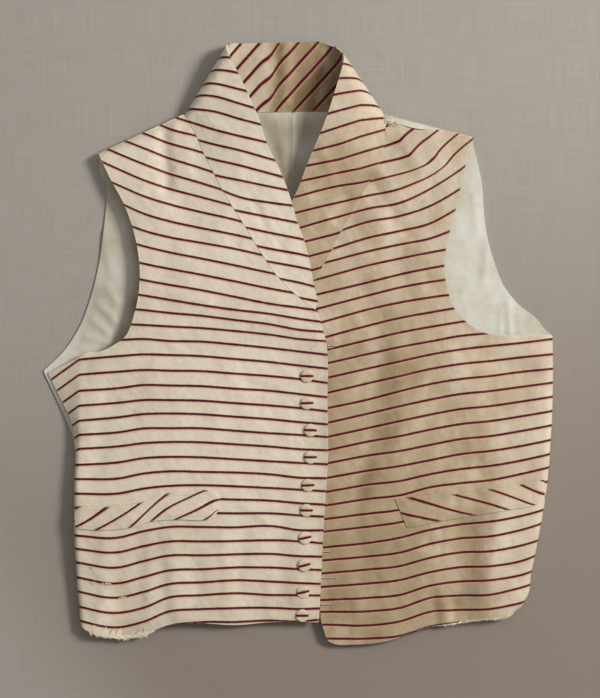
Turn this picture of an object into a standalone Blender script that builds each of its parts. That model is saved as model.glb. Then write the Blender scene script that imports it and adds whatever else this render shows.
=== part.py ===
"""A man's waistcoat of about 1820 to 1840, laid flat on its back with the fronts up.

Striped silk fronts and a tall collar are sewn to a plain cotton back. Every cut piece is a closed
cloth wall of its own. All tables are in millimetres: x to the picture's right, y towards the
collar, z up from the board. "Right" and "left" are the wearer's, so the right front is at -x.
"""

import math

import bpy
import numpy as np
from mathutils import Vector
from mathutils.geometry import delaunay_2d_cdt
from mathutils.kdtree import KDTree

MM = 0.001

# Driving sizes
WALL = 1.5  # silk, interlining and lining together
SEAM_GAP = 0.3
LAP = 2.3  # how far the right front and its collar lie above the left ones
BUTTON_DIAMETER = 13.0
BUTTON_HEIGHT = 4.2
BUTTON_SIDES = 14
BACK_SEAM_X = -5.0
FRONT_GRAIN = 15.0  # size of the triangles in the fronts
BACK_GRAIN = 30.0
EDGE_STEP = 9.0  # how far apart the points of a cut edge are
COLLAR_STEPS_ACROSS = 8
COLLAR_STEP = 12.0  # how far apart the collar's sections are
COLLAR_TURN_STEP = 4.4  # and where it turns under
COLLAR_TURN_ROOM = (12.0, 62.0)  # how far that reaches, on top and below
COLLAR_IS_UP = 8.0  # the collar's seam is on the fronts where it lies higher than this
RIM_Z = WALL + SEAM_GAP  # the fronts' side edges stand on the back
RIM_TUCK = 0.25  # share of the wall by which a steep side edge stands lower than a flat one
SHOULDER_Y = 150.0  # the cloth rolls round the shoulders beyond this
NECK_MIDDLE = (0.0, 230.0)
SEAM_SIDE = 1.1  # share of the seam gap by which a front keeps clear of the collar
NECK_SIDE = 1.2  # and the back
NECK_ROOM = (3.0, 24.0)  # how far the back's neck curve keeps from its middle and left ends
HEM_END = (3.0, -6.0)  # how far the back's hem corner lies in from its side: right, left
BUTTON_CLEARANCE = 0.15  # more than the seam gap, for the panel's curve under a flat button
RING_STEP = 12.0  # how far apart the points beside a rolled side edge are
SIDE_RINGS = (0.03, 0.12, 0.3, 0.6, 1.0)
FRONT_SHOULDER_RINGS = (1.0, 3.0, 6.5)
BACK_SHOULDER_RINGS = (-1.5, 0.5, 2.5, 4.5, 7.0, 10.0)
SHOULDER_RING_POINTS = 9
FLAP_POINTS = 12
LATTICE_ROW = 0.866  # height of an even triangle
LATTICE_CLEAR = 0.6  # share of the grain that the lattice keeps from the fixed points
POINT_CLEAR = 0.8
TURN_ROUNDS = 4
SMALLEST_TURN = 0.5

SILK = (0.70, 0.63, 0.47, 1.0)
COTTON = (0.74, 0.73, 0.64, 1.0)

# Height of the fronts' face over the board, without the lap: y, then z at each x of FORM_X
FORM_X = (-230, -120, 10, 120, 230)
FORM = [
    (310, 11.0, 11.0, 12.0, 12.0, 12.0),
    (229, 10.5, 11.0, 13.0, 12.5, 11.0),
    (150, 12.0, 13.0, 15.0, 13.5, 11.5),
    (60, 13.0, 14.5, 16.0, 14.0, 12.0),
    (-20, 14.0, 16.5, 15.5, 16.0, 14.0),
    (-110, 14.5, 17.0, 14.5, 16.5, 15.0),
    (-190, 13.0, 15.0, 13.0, 14.5, 13.5),
    (-250, 9.5, 11.0, 10.5, 10.5, 10.0),
    (-305, 7.5, 8.5, 8.5, 8.0, 8.0),
]

# Large folds and hollows in the fronts: from x, y to x, y, half-width, height (hollows are negative)
FOLDS = [
    (-134, 214, -131, 168, 7, -2.2),
    (-174, -262, -172, -298, 16, -2.6),
    (-112, -262, -108, -284, 22, 2.0),
    (-40, -262, -36, -284, 20, -1.6),
    (104, 208, 120, 176, 6, 1.5),
    (60, 150, 112, 196, 10, 1.8),
    (52, 118, 110, 150, 11, 1.6),
    (112, -272, 92, -300, 18, 2.0),
    (165, -262, 160, -285, 16, -1.8),
    (196, -200, 186, -272, 14, 1.8),
    (-205, -130, -190, -60, 12, -1.6),
    (168, -5, 232, -30, 12, -1.8),
]

# Silhouette of each side: y, x of the side edge, width of the roll up to the fronts' face, and its
# roundness from 0, a flat slope with a sharp ridge, to 1, a round roll
RIGHT_SIDE = [
    (20, -264, 45, 0.0),
    (-30, -251, 33, 0.0),
    (-60, -239.5, 21, 0.0),
    (-104, -223, 9, 0.3),
    (-136, -224, 12, 0.9),
    (-174, -224.5, 13, 1.0),
    (-235, -222, 12, 1.0),
    (-264, -219.6, 10, 1.0),
    (-300, -217, 10, 1.0),
]
LEFT_SIDE = [
    (20, 255.5, 46, 0.8),
    (8, 255.5, 44, 0.8),
    (-17, 255.8, 26, 1.0),
    (-57, 254, 15, 1.0),
    (-102, 250.5, 13, 1.0),
    (-154, 248, 13, 1.0),
    (-205, 238.5, 13, 1.0),
    (-232, 234, 12, 1.0),
    (-256, 229, 11, 1.0),
    (-270, 217, 11, 1.0),
    (-300, 205, 11, 1.0),
]

# Shoulder silhouettes, from the neck to the shoulder tip
RIGHT_SHOULDER = ((-113.0, 228.5), (-200.0, 190.0))
LEFT_SHOULDER = ((86.5, 229.3), (176.0, 206.4))

# Cut edges in plan: x, y
RIGHT_ARMHOLE = [
    (-200, 190), (-187, 163), (-174, 139), (-161, 98), (-158, 64), (-163, 31), (-174, 5),
    (-184, -2), (-196, -8), (-211, -10), (-218, -14), (-251, -30),
]
RIGHT_SIDE_EDGE = [(-251, -30), (-239.5, -60), (-223, -104)]
RIGHT_SIDE_BELOW = [(-223, -104), (-224, -136), (-224.5, -174), (-222, -235), (-218.5, -277)]
RIGHT_HEM = [
    (-218.5, -277), (-212, -285), (-190, -293.5), (-174, -295), (-151, -291), (-128, -282),
    (-116, -280.3), (-58, -282), (-28, -279.5), (21, -279.4),
]
RIGHT_FRONT_EDGE = [
    (21, -279.4), (23.6, -227), (27, -161), (29.8, -121), (30, -80), (29.4, -54), (30, -25),
    (28, 1), (21.7, 24), (20, 31.5),
]
RIGHT_RIDGE = [(-218, -14), (-218, -34), (-219.5, -63), (-222, -92)]

LEFT_SHOULDER_SEAM = [
    (87.2, 226.5), (100, 219), (118, 213.4), (138, 212), (159, 209.6), (176, 205.6),
]
LEFT_ARMHOLE = [
    (176, 205.6), (168, 179), (158, 134), (148, 93), (146.4, 77), (151, 48), (156, 35),
    (167, 22), (178, 14.5), (190, 9), (209, 7.6), (231, 8.5), (255.5, 8),
]
LEFT_SIDE_EDGE = [
    (255.5, 8), (255.8, -17), (254, -57), (250.5, -102), (248, -154), (238.5, -205), (234, -232),
    (229, -256), (224, -265), (217, -270),
]
LEFT_HEM = [
    (217, -270), (207, -275), (187, -276.5), (155, -281.5), (129, -285.4), (110, -291.7),
    (97.5, -296), (80, -300), (56, -302), (34, -300.5), (29, -297.6),
]
LEFT_FRONT_EDGE = [
    (29, -297.6), (26, -288), (23, -277), (22, -265), (16, -237), (12, -207), (11, -157),
    (11, -77), (9, -17), (5, 23), (3.8, 36.6),
]

BACK_RIGHT_ARMHOLE = [
    (-199.5, 180), (-198, 168), (-192.5, 160), (-192, 150), (-194, 124), (-202, 69),
    (-209, 43), (-218, 19), (-236, -9), (-255.8, -28),
]
BACK_RIGHT_SIDE = [
    (-255.8, -28), (-241, -59), (-226.5, -93), (-223.3, -106), (-223.6, -136), (-224.1, -174),
    (-221.6, -235), (-219, -258),
]
BACK_LEFT_ARMHOLE = [
    (176, 199), (181, 179), (184.7, 160), (186.4, 136), (190, 107), (196.7, 83), (207, 57),
    (222.5, 38), (238, 26), (250, 12), (255.5, 7.6),
]
BACK_LEFT_SIDE = [
    (255.5, 7.6), (255.4, -17), (253.6, -57), (250.1, -102), (247.6, -154), (238.1, -205),
    (228.6, -256),
]
BACK_HEM_Y = -262.0
FLAP_GAP = 0.7  # clear arc between the back's shoulder strip and the front's turned-down edge
TIP_CORNER = 0.03  # share of the shoulder left free at its tip
BACK_NECK_CUT = (83.0, 221.0)  # the back's corner, cut short under the collar's turned left end
NECK_CORNER = 0.11  # share of the shoulder left free where back, front and collar meet

# The collar, a row for each section as it lies in plan: seam x, y, then free edge x, y
COLLAR_RIGHT = [
    (17.5, 33.4, 20.2, 39), (-4, 50, 18, 49), (-18, 64, 15.4, 61), (-40.5, 96, 10.7, 86),
    (-52, 115.5, 6, 103), (-64, 134, -0.5, 120.5), (-75, 152, -5.5, 138), (-85, 171.5, -11, 155),
    (-94, 189.5, -21, 179), (-102, 208, -31, 199), (-109, 221, -38, 221),
    (-112.6, 228.3, -48, 244),
]
COLLAR_BACK = [
    (-43, 231.7, -52, 300.6), (-20, 232, -21, 301), (6, 232.4, 6, 302), (31, 232.6, 24, 302.4),
]
COLLAR_LEFT = [
    (86.2, 229, 37, 251), (87.5, 213, 31, 232), (86, 197, 24, 213), (80, 178, 15, 192),
    (71, 160, 8, 175), (62, 146, 1, 156), (54, 130, -6, 141), (43.5, 112, -10, 124),
    (36, 97, -12, 106), (19, 67, -10.5, 82), (11, 53, -6, 60), (4.5, 38.5, 1, 43),
]
# Where each half of the collar turns under: from the neck seam to the free edge
COLLAR_RIGHT_FOLD = ((-113.0, 229.0), (-70.4, 298.0))
COLLAR_LEFT_FOLD = ((86.5, 229.0), (46.0, 293.0))
# How far the free edge stands above the fronts: y, right half, left half
COLLAR_LIFT = [
    (128, 0, 0), (150, 1, 2), (180, 4, 7), (200, 7, 11), (229, 11, 16), (265, 14, 20), (305, 16, 21),
]
COLLAR_BULGE = [(120, 0, 0), (170, 1.5, 2.5), (229, 2.5, 4.5), (305, 2.0, 4.0)]
COLLAR_SEAM_Z = 0.3  # outer face of the collar at the back of the neck
SEAM_LEVEL = 0.02  # the seam counts as level there up to this much higher
COLLAR_EDGE_Z = 5.0

# Pocket welts, a row for each section: top x, y, then bottom x, y
RIGHT_WELT = [
    (-222.2, -163, -222.2, -185), (-204, -163.4, -202, -186.7), (-178, -162.6, -183, -186),
    (-155, -158.6, -165, -183.6), (-135, -151, -147, -178), (-113, -148, -121, -176),
    (-91, -147, -91, -176.4), (-77, -153.5, -81, -170),
]
LEFT_WELT = [
    (97, -156, 109, -184.4), (126, -152, 141, -178), (156, -151, 175, -172),
    (192, -145.7, 210, -166.7), (224, -141, 236.5, -161.6), (243.5, -136.5, 244.6, -154),
]

# Covered buttons: x, y
BUTTONS = [
    (9, -33), (9, -60), (12.5, -87), (12.5, -114), (10, -142), (8.5, -167), (7, -194.5),
    (6.4, -222), (5, -249), (4.3, -272.5),
]
# Half section of a button: radius, height, as shares of the radius and the height
BUTTON_SECTION = [(0.78, 0.0), (1.0, 0.25), (0.94, 0.55), (0.70, 0.86), (0.38, 0.98)]


def smooth(stations, values, at):
    """Reads a table between its rows, along a smooth curve through them.

    values has one number for each station, or one row of them for each point of at.
    """
    stations = np.asarray(stations, float)
    at = np.asarray(at, float)
    values = np.broadcast_to(np.asarray(values, float), at.shape + stations.shape)
    if stations[0] > stations[-1]:
        stations = stations[::-1]
        values = values[..., ::-1]
    step = np.diff(stations)
    slope = np.diff(values, axis=-1) / step
    tangent = np.concatenate([slope[..., :1], slope], axis=-1)
    share = step[:-1] / (step[:-1] + step[1:])
    tangent[..., 1:-1] = (1 - share) * slope[..., :-1] + share * slope[..., 1:]
    at = np.clip(at, stations[0], stations[-1])
    row = np.clip(np.searchsorted(stations, at) - 1, 0, len(stations) - 2)
    t = (at - stations[row]) / step[row]

    def pick(table, index):
        return np.take_along_axis(table, index[..., None], axis=-1)[..., 0]

    ends = (2 * t**3 - 3 * t**2 + 1) * pick(values, row) + (3 * t**2 - 2 * t**3) * pick(values, row + 1)
    bends = (t**3 - 2 * t**2 + t) * pick(tangent, row) + (t**3 - t**2) * pick(tangent, row + 1)
    return ends + bends * step[row]


def column(table, number):
    """One column of a table."""
    return [row[number] for row in table]


def read(table, number, at):
    """Reads a table's column between its rows, whose stations are its first column."""
    return smooth(column(table, 0), column(table, number), at)


def curve(points, step):
    """Even points along a smooth curve through a few chosen ones."""
    points = np.asarray(points, float)
    length = np.concatenate([[0.0], np.cumsum(np.hypot(*np.diff(points, axis=0).T))])
    at = np.linspace(0.0, length[-1], max(1, round(length[-1] / step)) + 1)
    return np.stack([smooth(length, points[:, 0], at), smooth(length, points[:, 1], at)], axis=1)


def join(edges):
    """Closed outline of a cut piece from its edges, each of which ends where the next one starts."""
    return np.concatenate([edge[:-1] for edge in edges])


def inside(border, points):
    """Which points lie inside a closed outline."""
    result = np.zeros(len(points), bool)
    for (x0, y0), (x1, y1) in zip(border, np.roll(border, -1, axis=0)):
        if y0 == y1:
            continue
        crosses = (points[:, 1] > y0) != (points[:, 1] > y1)
        result ^= crosses & (points[:, 0] < x0 + (points[:, 1] - y0) * (x1 - x0) / (y1 - y0))
    return result


class Nearby:
    """Distance in plan to the nearest of some points."""

    def __init__(self, points):
        self.tree = KDTree(len(points))
        for number, point in enumerate(points):
            self.tree.insert((point[0], point[1], 0.0), number)
        self.tree.balance()

    def distance(self, point):
        return self.tree.find((point[0], point[1], 0.0))[2]


def fill(border, grain, loop=None, ridge=None, extra=()):
    """Fills an outline with near-even triangles that also follow a loop, a ridge and extra points."""
    chains = [(border, True)]
    if loop is not None:
        chains.append((loop, True))
    if ridge is not None:
        chains.append((ridge, False))
    edges = []
    start = 0
    for points, closed in chains:
        count = len(points)
        edges += [(start + i, start + (i + 1) % count) for i in range(count if closed else count - 1)]
        start += count
    near = Nearby(np.concatenate([points for points, _ in chains]))
    extra = [p for p in extra if near.distance(p) > POINT_CLEAR]
    fixed = np.concatenate([points for points, _ in chains] + ([np.array(extra)] if extra else []))
    fixed = np.concatenate([fixed[:start], fixed[start:][inside(border, fixed[start:])]])
    near = Nearby(fixed)
    low, high = border.min(axis=0), border.max(axis=0)
    lattice = []
    for row in range(int((high[1] - low[1]) / (grain * LATTICE_ROW)) + 1):
        for place in range(int((high[0] - low[0]) / grain) + 1):
            point = (low[0] + grain * (place + 0.5 * (row % 2)), low[1] + grain * LATTICE_ROW * row)
            if near.distance(point) > LATTICE_CLEAR * grain:
                lattice.append(point)
    lattice = np.array(lattice)
    points = np.concatenate([fixed, lattice[inside(border, lattice)]])
    made = delaunay_2d_cdt([Vector(p) for p in points], edges, [], 0, 1e-4)
    plan = np.array([tuple(p) for p in made[0]])
    triangles = np.array([tuple(f) for f in made[2]])
    triangles = triangles[inside(border, plan[triangles].mean(axis=1))]
    a, b, c = (plan[triangles[:, i]] for i in range(3))
    turned = (b - a)[:, 0] * (c - a)[:, 1] - (b - a)[:, 1] * (c - a)[:, 0] < 0
    triangles[turned] = triangles[turned][:, ::-1]
    return plan, triangles


def form(x, y):
    """Height of the left front's face away from its edges; the right front lies LAP higher."""
    rows = np.stack([read(FORM, 1 + i, y) for i in range(len(FORM_X))], axis=-1)
    height = smooth(FORM_X, rows, x)
    for x0, y0, x1, y1, width, rise in FOLDS:
        along = ((x - x0) * (x1 - x0) + (y - y0) * (y1 - y0)) / ((x1 - x0) ** 2 + (y1 - y0) ** 2)
        along = np.clip(along, 0, 1)
        off = np.hypot(x - x0 - along * (x1 - x0), y - y0 - along * (y1 - y0))
        height = height + rise * np.exp(-((off / width) ** 2))
    return height


def round_up(share):
    """Quarter-round rise from 0 at an edge to 1."""
    return np.sqrt(1 - (1 - np.clip(share, 0, 1)) ** 2)


def from_line(x, y, line):
    """Distance of a plan point below a shoulder line."""
    (x0, y0), (x1, y1) = line
    return abs((x1 - x0) * (y0 - y) - (x0 - x) * (y1 - y0)) / math.hypot(x1 - x0, y1 - y0)


def front_face(x, y, is_right):
    """Height of a front's outer face at plan points: the form, rolled down at side and shoulder."""
    if is_right:
        crown = form(x, y) + LAP
        share = (x - read(RIGHT_SIDE, 1, y)) / read(RIGHT_SIDE, 2, y)
        roundness = np.clip(read(RIGHT_SIDE, 3, y), 0, 1)
        shoulder = RIGHT_SHOULDER
    else:
        crown = form(x, y)
        share = (read(LEFT_SIDE, 1, y) - x) / read(LEFT_SIDE, 2, y)
        roundness = np.clip(read(LEFT_SIDE, 3, y), 0, 1)
        shoulder = LEFT_SHOULDER
    share = np.clip(share, 0, 1)
    rim = RIM_Z + WALL * (1 - RIM_TUCK * roundness)
    crown = rim + (crown - rim) * ((1 - roundness) * share + roundness * round_up(share))
    middle = crown / 2
    rolled = middle + middle * round_up(from_line(x, y, shoulder) / middle)
    return np.where(y > SHOULDER_Y, rolled, crown)


def collar_low(across):
    """Height of the collar's outer face where it lies under, at the back of the neck."""
    return COLLAR_SEAM_Z + (COLLAR_EDGE_Z - COLLAR_SEAM_Z) * across**1.5


def collar_high(x, y, across, is_right):
    """Height of the collar's outer face where it lies on top."""
    side = 1 if is_right else 2
    lift = read(COLLAR_LIFT, side, y) * across + read(COLLAR_BULGE, side, y) * 4 * across * (1 - across)
    return form(x, y) + (LAP if is_right else 0.0) + lift


class Fold:
    """Cloth that turns round a straight line in plan, from a lower layer to an upper one.

    Flat coordinates are those of the lower layer, carried on past the line as if not turned.
    """

    def __init__(self, line, into):
        (x0, y0), (x1, y1) = line
        length = math.hypot(x1 - x0, y1 - y0)
        self.start = np.array([x0, y0])
        self.way = np.array([x1 - x0, y1 - y0]) / length
        self.inward = np.array([-self.way[1], self.way[0]])
        if (np.array(into) - self.start) @ self.inward < 0:
            self.inward = -self.inward

    def split(self, points):
        """Place along the line, and distance in from it."""
        return (points - self.start) @ self.way, (points - self.start) @ self.inward

    def place(self, along, inward):
        return self.start + along[..., None] * self.way + inward[..., None] * self.inward

    def unfold(self, top_points, radius):
        """Flat coordinates of points that lie in the upper layer."""
        along, inward = self.split(top_points)
        angle = np.arccos(np.clip(1 - inward / radius, 0, 1))
        arc = radius * (math.pi / 2 + angle) + np.maximum(inward - radius, 0)
        return self.place(along, radius - arc)

    def turn(self, flat, low, high_at):
        """Plan and height of flat points; high_at gives the upper layer's height at plan points."""
        along, q = self.split(flat)
        plan = self.place(along, np.abs(q))
        for _ in range(TURN_ROUNDS):
            high = high_at(plan[..., 0], plan[..., 1])
            radius = np.maximum((high - low) / 2, SMALLEST_TURN)
            arc = np.maximum(radius - q, 0)
            angle = np.minimum(arc / radius, math.pi) - math.pi / 2
            inward = radius * (1 - np.cos(angle)) + np.maximum(arc - math.pi * radius, 0)
            plan = np.where((arc > 0)[..., None], self.place(along, inward), flat)
        height = np.where(arc > 0, (high + low) / 2 + radius * np.sin(angle), low)
        return plan, height


def collar_rows():
    """Flat seam and free edge of the collar, from its right end to its left."""
    folds = (Fold(COLLAR_RIGHT_FOLD, NECK_MIDDLE), Fold(COLLAR_LEFT_FOLD, NECK_MIDDLE))
    flat = []
    for table, is_right, fold in (
        (COLLAR_RIGHT, True, folds[0]), (COLLAR_BACK, None, None), (COLLAR_LEFT, False, folds[1]),
    ):
        table = np.array(table, float)
        ends = []
        for across, points in ((0.0, table[:, :2]), (1.0, table[:, 2:])):
            if fold:
                high = collar_high(points[:, 0], points[:, 1], across, is_right)
                points = fold.unfold(points, (high - collar_low(across)) / 2)
            ends.append(points)
        flat.append(np.concatenate(ends, axis=1))
    flat = np.concatenate(flat)
    middle = (flat[:, :2] + flat[:, 2:]) / 2
    length = np.concatenate([[0.0], np.cumsum(np.hypot(*np.diff(middle, axis=0).T))])
    at = collar_steps(length)
    rows = np.stack([smooth(length, flat[:, i], at) for i in range(4)], axis=1)
    return rows, at, folds


def collar_steps(length):
    """Where the collar's sections lie along it: close together where it turns under."""
    right_turn = length[len(COLLAR_RIGHT) - 1]
    left_turn = length[len(COLLAR_RIGHT) + len(COLLAR_BACK)]
    above, below = COLLAR_TURN_ROOM
    stops = [0.0, right_turn - above, right_turn + below, left_turn - below, left_turn + above, length[-1]]
    sizes = [COLLAR_STEP, COLLAR_TURN_STEP, COLLAR_STEP, COLLAR_TURN_STEP, COLLAR_STEP]
    parts = []
    for start, stop, size in zip(stops, stops[1:], sizes):
        parts.append(np.linspace(start, stop, max(2, round((stop - start) / size)) + 1)[:-1])
    return np.concatenate(parts + [[length[-1]]])


def collar_points():
    """The collar's outer face as a grid of points, section by section."""
    rows, at, folds = collar_rows()
    across = np.linspace(0, 1, COLLAR_STEPS_ACROSS + 1)
    flat = rows[:, None, :2] * (1 - across[None, :, None]) + rows[:, None, 2:] * across[None, :, None]
    across = np.broadcast_to(across, flat.shape[:2])
    low = collar_low(across)
    middle = at < at[-1] / 2
    grid = np.zeros(flat.shape[:2] + (3,))
    for is_right, fold, part in ((True, folds[0], middle), (False, folds[1], ~middle)):
        plan, height = fold.turn(
            flat[part], low[part], lambda x, y: collar_high(x, y, across[part], is_right)
        )
        grid[part] = np.concatenate([plan, height[..., None]], axis=-1)
    return grid


def material(name, colour, roughness):
    made = bpy.data.materials.new(name)
    made.use_nodes = True
    shader = made.node_tree.nodes["Principled BSDF"]
    shader.inputs["Base Color"].default_value = colour
    shader.inputs["Roughness"].default_value = roughness
    shader.inputs["Metallic"].default_value = 0.0
    return made


def add_object(name, points, faces, finish):
    """Adds a mesh object whose points are in millimetres."""
    mesh = bpy.data.meshes.new(name)
    places = [tuple(float(value) * MM for value in point) for point in points]
    mesh.from_pydata(places, [], [tuple(int(i) for i in face) for face in faces])
    mesh.materials.append(finish)
    mesh.validate()
    mesh.update()
    made = bpy.data.objects.new(name, mesh)
    bpy.context.scene.collection.objects.link(made)
    return made


def add_cloth(name, points, faces, finish):
    """A cloth wall: its outer face from points, thickened to the inside."""
    used = np.unique(np.concatenate([np.asarray(f) for f in faces]))
    number = {int(old): new for new, old in enumerate(used)}
    made = add_object(name, points[used], [[number[int(i)] for i in f] for f in faces], finish)
    made.data.shade_smooth()
    thick = made.modifiers.new("cloth", "SOLIDIFY")
    thick.thickness = WALL * MM
    thick.offset = -1.0
    thick.use_even_offset = False
    return made


def normals(points, triangles):
    """Smooth normals of a triangle mesh."""
    a, b, c = (points[triangles[:, i]] for i in range(3))
    face = np.cross(b - a, c - a)
    total = np.zeros_like(points)
    for i in range(3):
        np.add.at(total, triangles[:, i], face)
    return total / np.maximum(np.linalg.norm(total, axis=1), 1e-9)[:, None]


def add_welt(name, panel, triangles, loop, finish):
    """A pocket welt: the panel's own points inside the welt's outline, moved out from it."""
    raised = panel + normals(panel, triangles) * (SEAM_GAP + WALL)
    chosen = triangles[inside(loop, panel[triangles].mean(axis=1)[:, :2])]
    return add_cloth(name, raised, chosen, finish)


def welt_loop(table):
    """Outline of a welt in plan."""
    table = np.array(table, float)
    return np.concatenate([curve(table[:, :2], EDGE_STEP), curve(table[::-1, 2:], EDGE_STEP)])


def side_rings(side, sign, low_y, high_y):
    """Points beside a side edge, closer together where the cloth turns down."""
    y = np.arange(low_y, high_y, RING_STEP)
    rings = []
    for share in SIDE_RINGS:
        x = read(side, 1, y) + sign * share * read(side, 2, y)
        rings.append(np.stack([x, y], axis=1))
    return np.concatenate(rings)


def shoulder_rings(line, inner_x, outer_x, drops):
    """Points beside a shoulder edge."""
    (x0, y0), (x1, y1) = line
    x = np.linspace(inner_x, outer_x, SHOULDER_RING_POINTS)
    level = y0 + (y1 - y0) / (x1 - x0) * (x - x0)
    return np.concatenate([np.stack([x, level - drop], axis=1) for drop in drops])


def make_front(name, border, is_right, table, rings, ridge, silk):
    """A front and the pocket welt that lies on it. Returns the front's face."""
    loop = welt_loop(table)
    plan, triangles = fill(border, FRONT_GRAIN, loop, ridge, rings)
    face = np.column_stack([plan, front_face(plan[:, 0], plan[:, 1], is_right)])
    add_cloth(name + "_front", face, triangles, silk)
    add_welt(name + "_pocket_welt", face, triangles, loop, silk)
    return face, triangles


def make_right_front(seam, silk):
    border = join([
        curve(RIGHT_ARMHOLE[:-1], EDGE_STEP), curve(RIGHT_ARMHOLE[-2:], EDGE_STEP),
        curve(RIGHT_SIDE_EDGE, EDGE_STEP), curve(RIGHT_SIDE_BELOW, EDGE_STEP),
        curve(RIGHT_HEM, EDGE_STEP), curve(RIGHT_FRONT_EDGE + [tuple(seam[0])], EDGE_STEP), seam,
        curve([tuple(seam[-1]), RIGHT_ARMHOLE[0]], EDGE_STEP),
    ])
    rings = np.concatenate([
        side_rings(RIGHT_SIDE, 1, -272, -106),
        shoulder_rings(RIGHT_SHOULDER, -120, -196, FRONT_SHOULDER_RINGS),
    ])
    return make_front("right", border, True, RIGHT_WELT, rings, curve(RIGHT_RIDGE, EDGE_STEP)[1:], silk)


def make_left_front(seam, silk):
    border = join([
        curve([tuple(seam[-1])] + LEFT_SHOULDER_SEAM, EDGE_STEP), curve(LEFT_ARMHOLE, EDGE_STEP),
        curve(LEFT_SIDE_EDGE, EDGE_STEP), curve(LEFT_HEM, EDGE_STEP),
        curve(LEFT_FRONT_EDGE + [tuple(seam[0])], EDGE_STEP), seam,
    ])
    rings = np.concatenate([
        side_rings(LEFT_SIDE, -1, -262, 4),
        shoulder_rings(LEFT_SHOULDER, 92, 172, FRONT_SHOULDER_RINGS),
    ])
    return make_front("left", border, False, LEFT_WELT, rings, None, silk)


def make_back(name, neck, line, is_right, seam_line, armhole, side, cotton):
    """One half of the back, flat on the board, its shoulder strip rolled up to the front's seam."""
    (x0, y0), (x1, y1) = line
    under = (BACK_SEAM_X, 0)
    outer_fold = Fold(line, under)
    start, stop = (tuple(outer_fold.place(np.array(s), np.array(WALL))) for s in (0.0, 1.0))
    fold = Fold((start, stop), under)
    x = np.linspace(x0 + (x1 - x0) * NECK_CORNER, x1 - (x1 - x0) * TIP_CORNER, FLAP_POINTS)
    y = y0 + (y1 - y0) / (x1 - x0) * (x - x0)
    outer = (form(x, y) + (LAP if is_right else 0.0)) / 2
    inner = outer - WALL
    inset = from_line(x, read(seam_line, 1, x), line) if seam_line else np.zeros_like(x)
    over = np.arccos(np.clip(1 - inset / outer, 0, 1)) + np.maximum(inset - outer, 0) / outer
    reach = inner * (math.pi / 2 + over) - FLAP_GAP
    flap = fold.place(fold.split(np.stack([x, y], axis=1))[0], inner - reach)
    seam_x = BACK_SEAM_X + (-SEAM_GAP / 2 if is_right else SEAM_GAP / 2)
    hem_end = (side[-1][0] + HEM_END[0 if is_right else 1], BACK_HEM_Y)
    border = join([
        curve([(seam_x, neck[0][1]), neck[0]], EDGE_STEP), neck,
        curve([tuple(neck[-1]), tuple(flap[0])], EDGE_STEP), flap,
        curve([tuple(flap[-1]), armhole[0]], EDGE_STEP), curve(armhole, EDGE_STEP),
        curve(side, EDGE_STEP), curve([side[-1], hem_end], EDGE_STEP),
        curve([hem_end, (seam_x, BACK_HEM_Y)], 2 * EDGE_STEP),
        curve([(seam_x, BACK_HEM_Y), (seam_x, neck[0][1])], 2 * EDGE_STEP),
    ])
    rings = shoulder_rings(line, x0, x1, BACK_SHOULDER_RINGS)
    plan, triangles = fill(border, BACK_GRAIN, None, None, rings)
    low = np.full(len(plan), WALL)
    lap = LAP if is_right else 0.0
    placed, height = fold.turn(plan, low, lambda u, v: form(u, v) + lap - WALL)
    flat = plan[:, 1] < SHOULDER_Y
    placed = np.where(flat[:, None], plan, placed)
    height = np.where(flat, WALL, height)
    add_cloth(name, np.column_stack([placed, height]), triangles, cotton)


def make_button(number, x, y, face, triangles, silk):
    """A domed covered button that lies on the right front, square to it."""
    radius = BUTTON_DIAMETER / 2
    sides = BUTTON_SIDES
    near = np.argmin(np.hypot(face[:, 0] - x, face[:, 1] - y))
    up = Vector(normals(face, triangles)[near])
    turn = Vector((0, 0, 1)).rotation_difference(up).to_matrix()
    height = float(front_face(np.array([x]), np.array([y]), True)[0])
    base = Vector((x, y, height)) + up * (SEAM_GAP + BUTTON_CLEARANCE)
    points = []
    faces = []
    for out, level in BUTTON_SECTION:
        for i in range(sides):
            angle = 2 * math.pi * i / sides
            local = (out * radius * math.cos(angle), out * radius * math.sin(angle), level * BUTTON_HEIGHT)
            points.append(base + turn @ Vector(local))
    for ring in range(len(BUTTON_SECTION) - 1):
        for i in range(sides):
            j = (i + 1) % sides
            a = ring * sides
            b = a + sides
            faces.append((a + i, a + j, b + j, b + i))
    points.append(base + turn @ Vector((0, 0, BUTTON_HEIGHT)))
    last = (len(BUTTON_SECTION) - 1) * sides
    for i in range(sides):
        faces.append((last + i, last + (i + 1) % sides, len(points) - 1))
    faces.append(tuple(reversed(range(sides))))
    made = add_object(f"button_{number:02d}", points, faces, silk)
    made.data.shade_smooth()


def make_collar(grid, silk):
    """The collar's wall from its grid of points."""
    sections, across = grid.shape[:2]
    points = grid.reshape(-1, 3)
    faces = []
    for i in range(sections - 1):
        for j in range(across - 1):
            a = i * across + j
            b = a + across
            faces.append((a, a + 1, b + 1))
            faces.append((a, b + 1, b))
    add_cloth("collar", points, faces, silk)


def seam_beside(line, away):
    """A seam line in plan, moved half a gap away from its neighbour."""
    way = np.gradient(line, axis=0)
    way /= np.linalg.norm(way, axis=1)[:, None]
    return line + away * SEAM_GAP * SEAM_SIDE * np.stack([-way[:, 1], way[:, 0]], axis=1)


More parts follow.
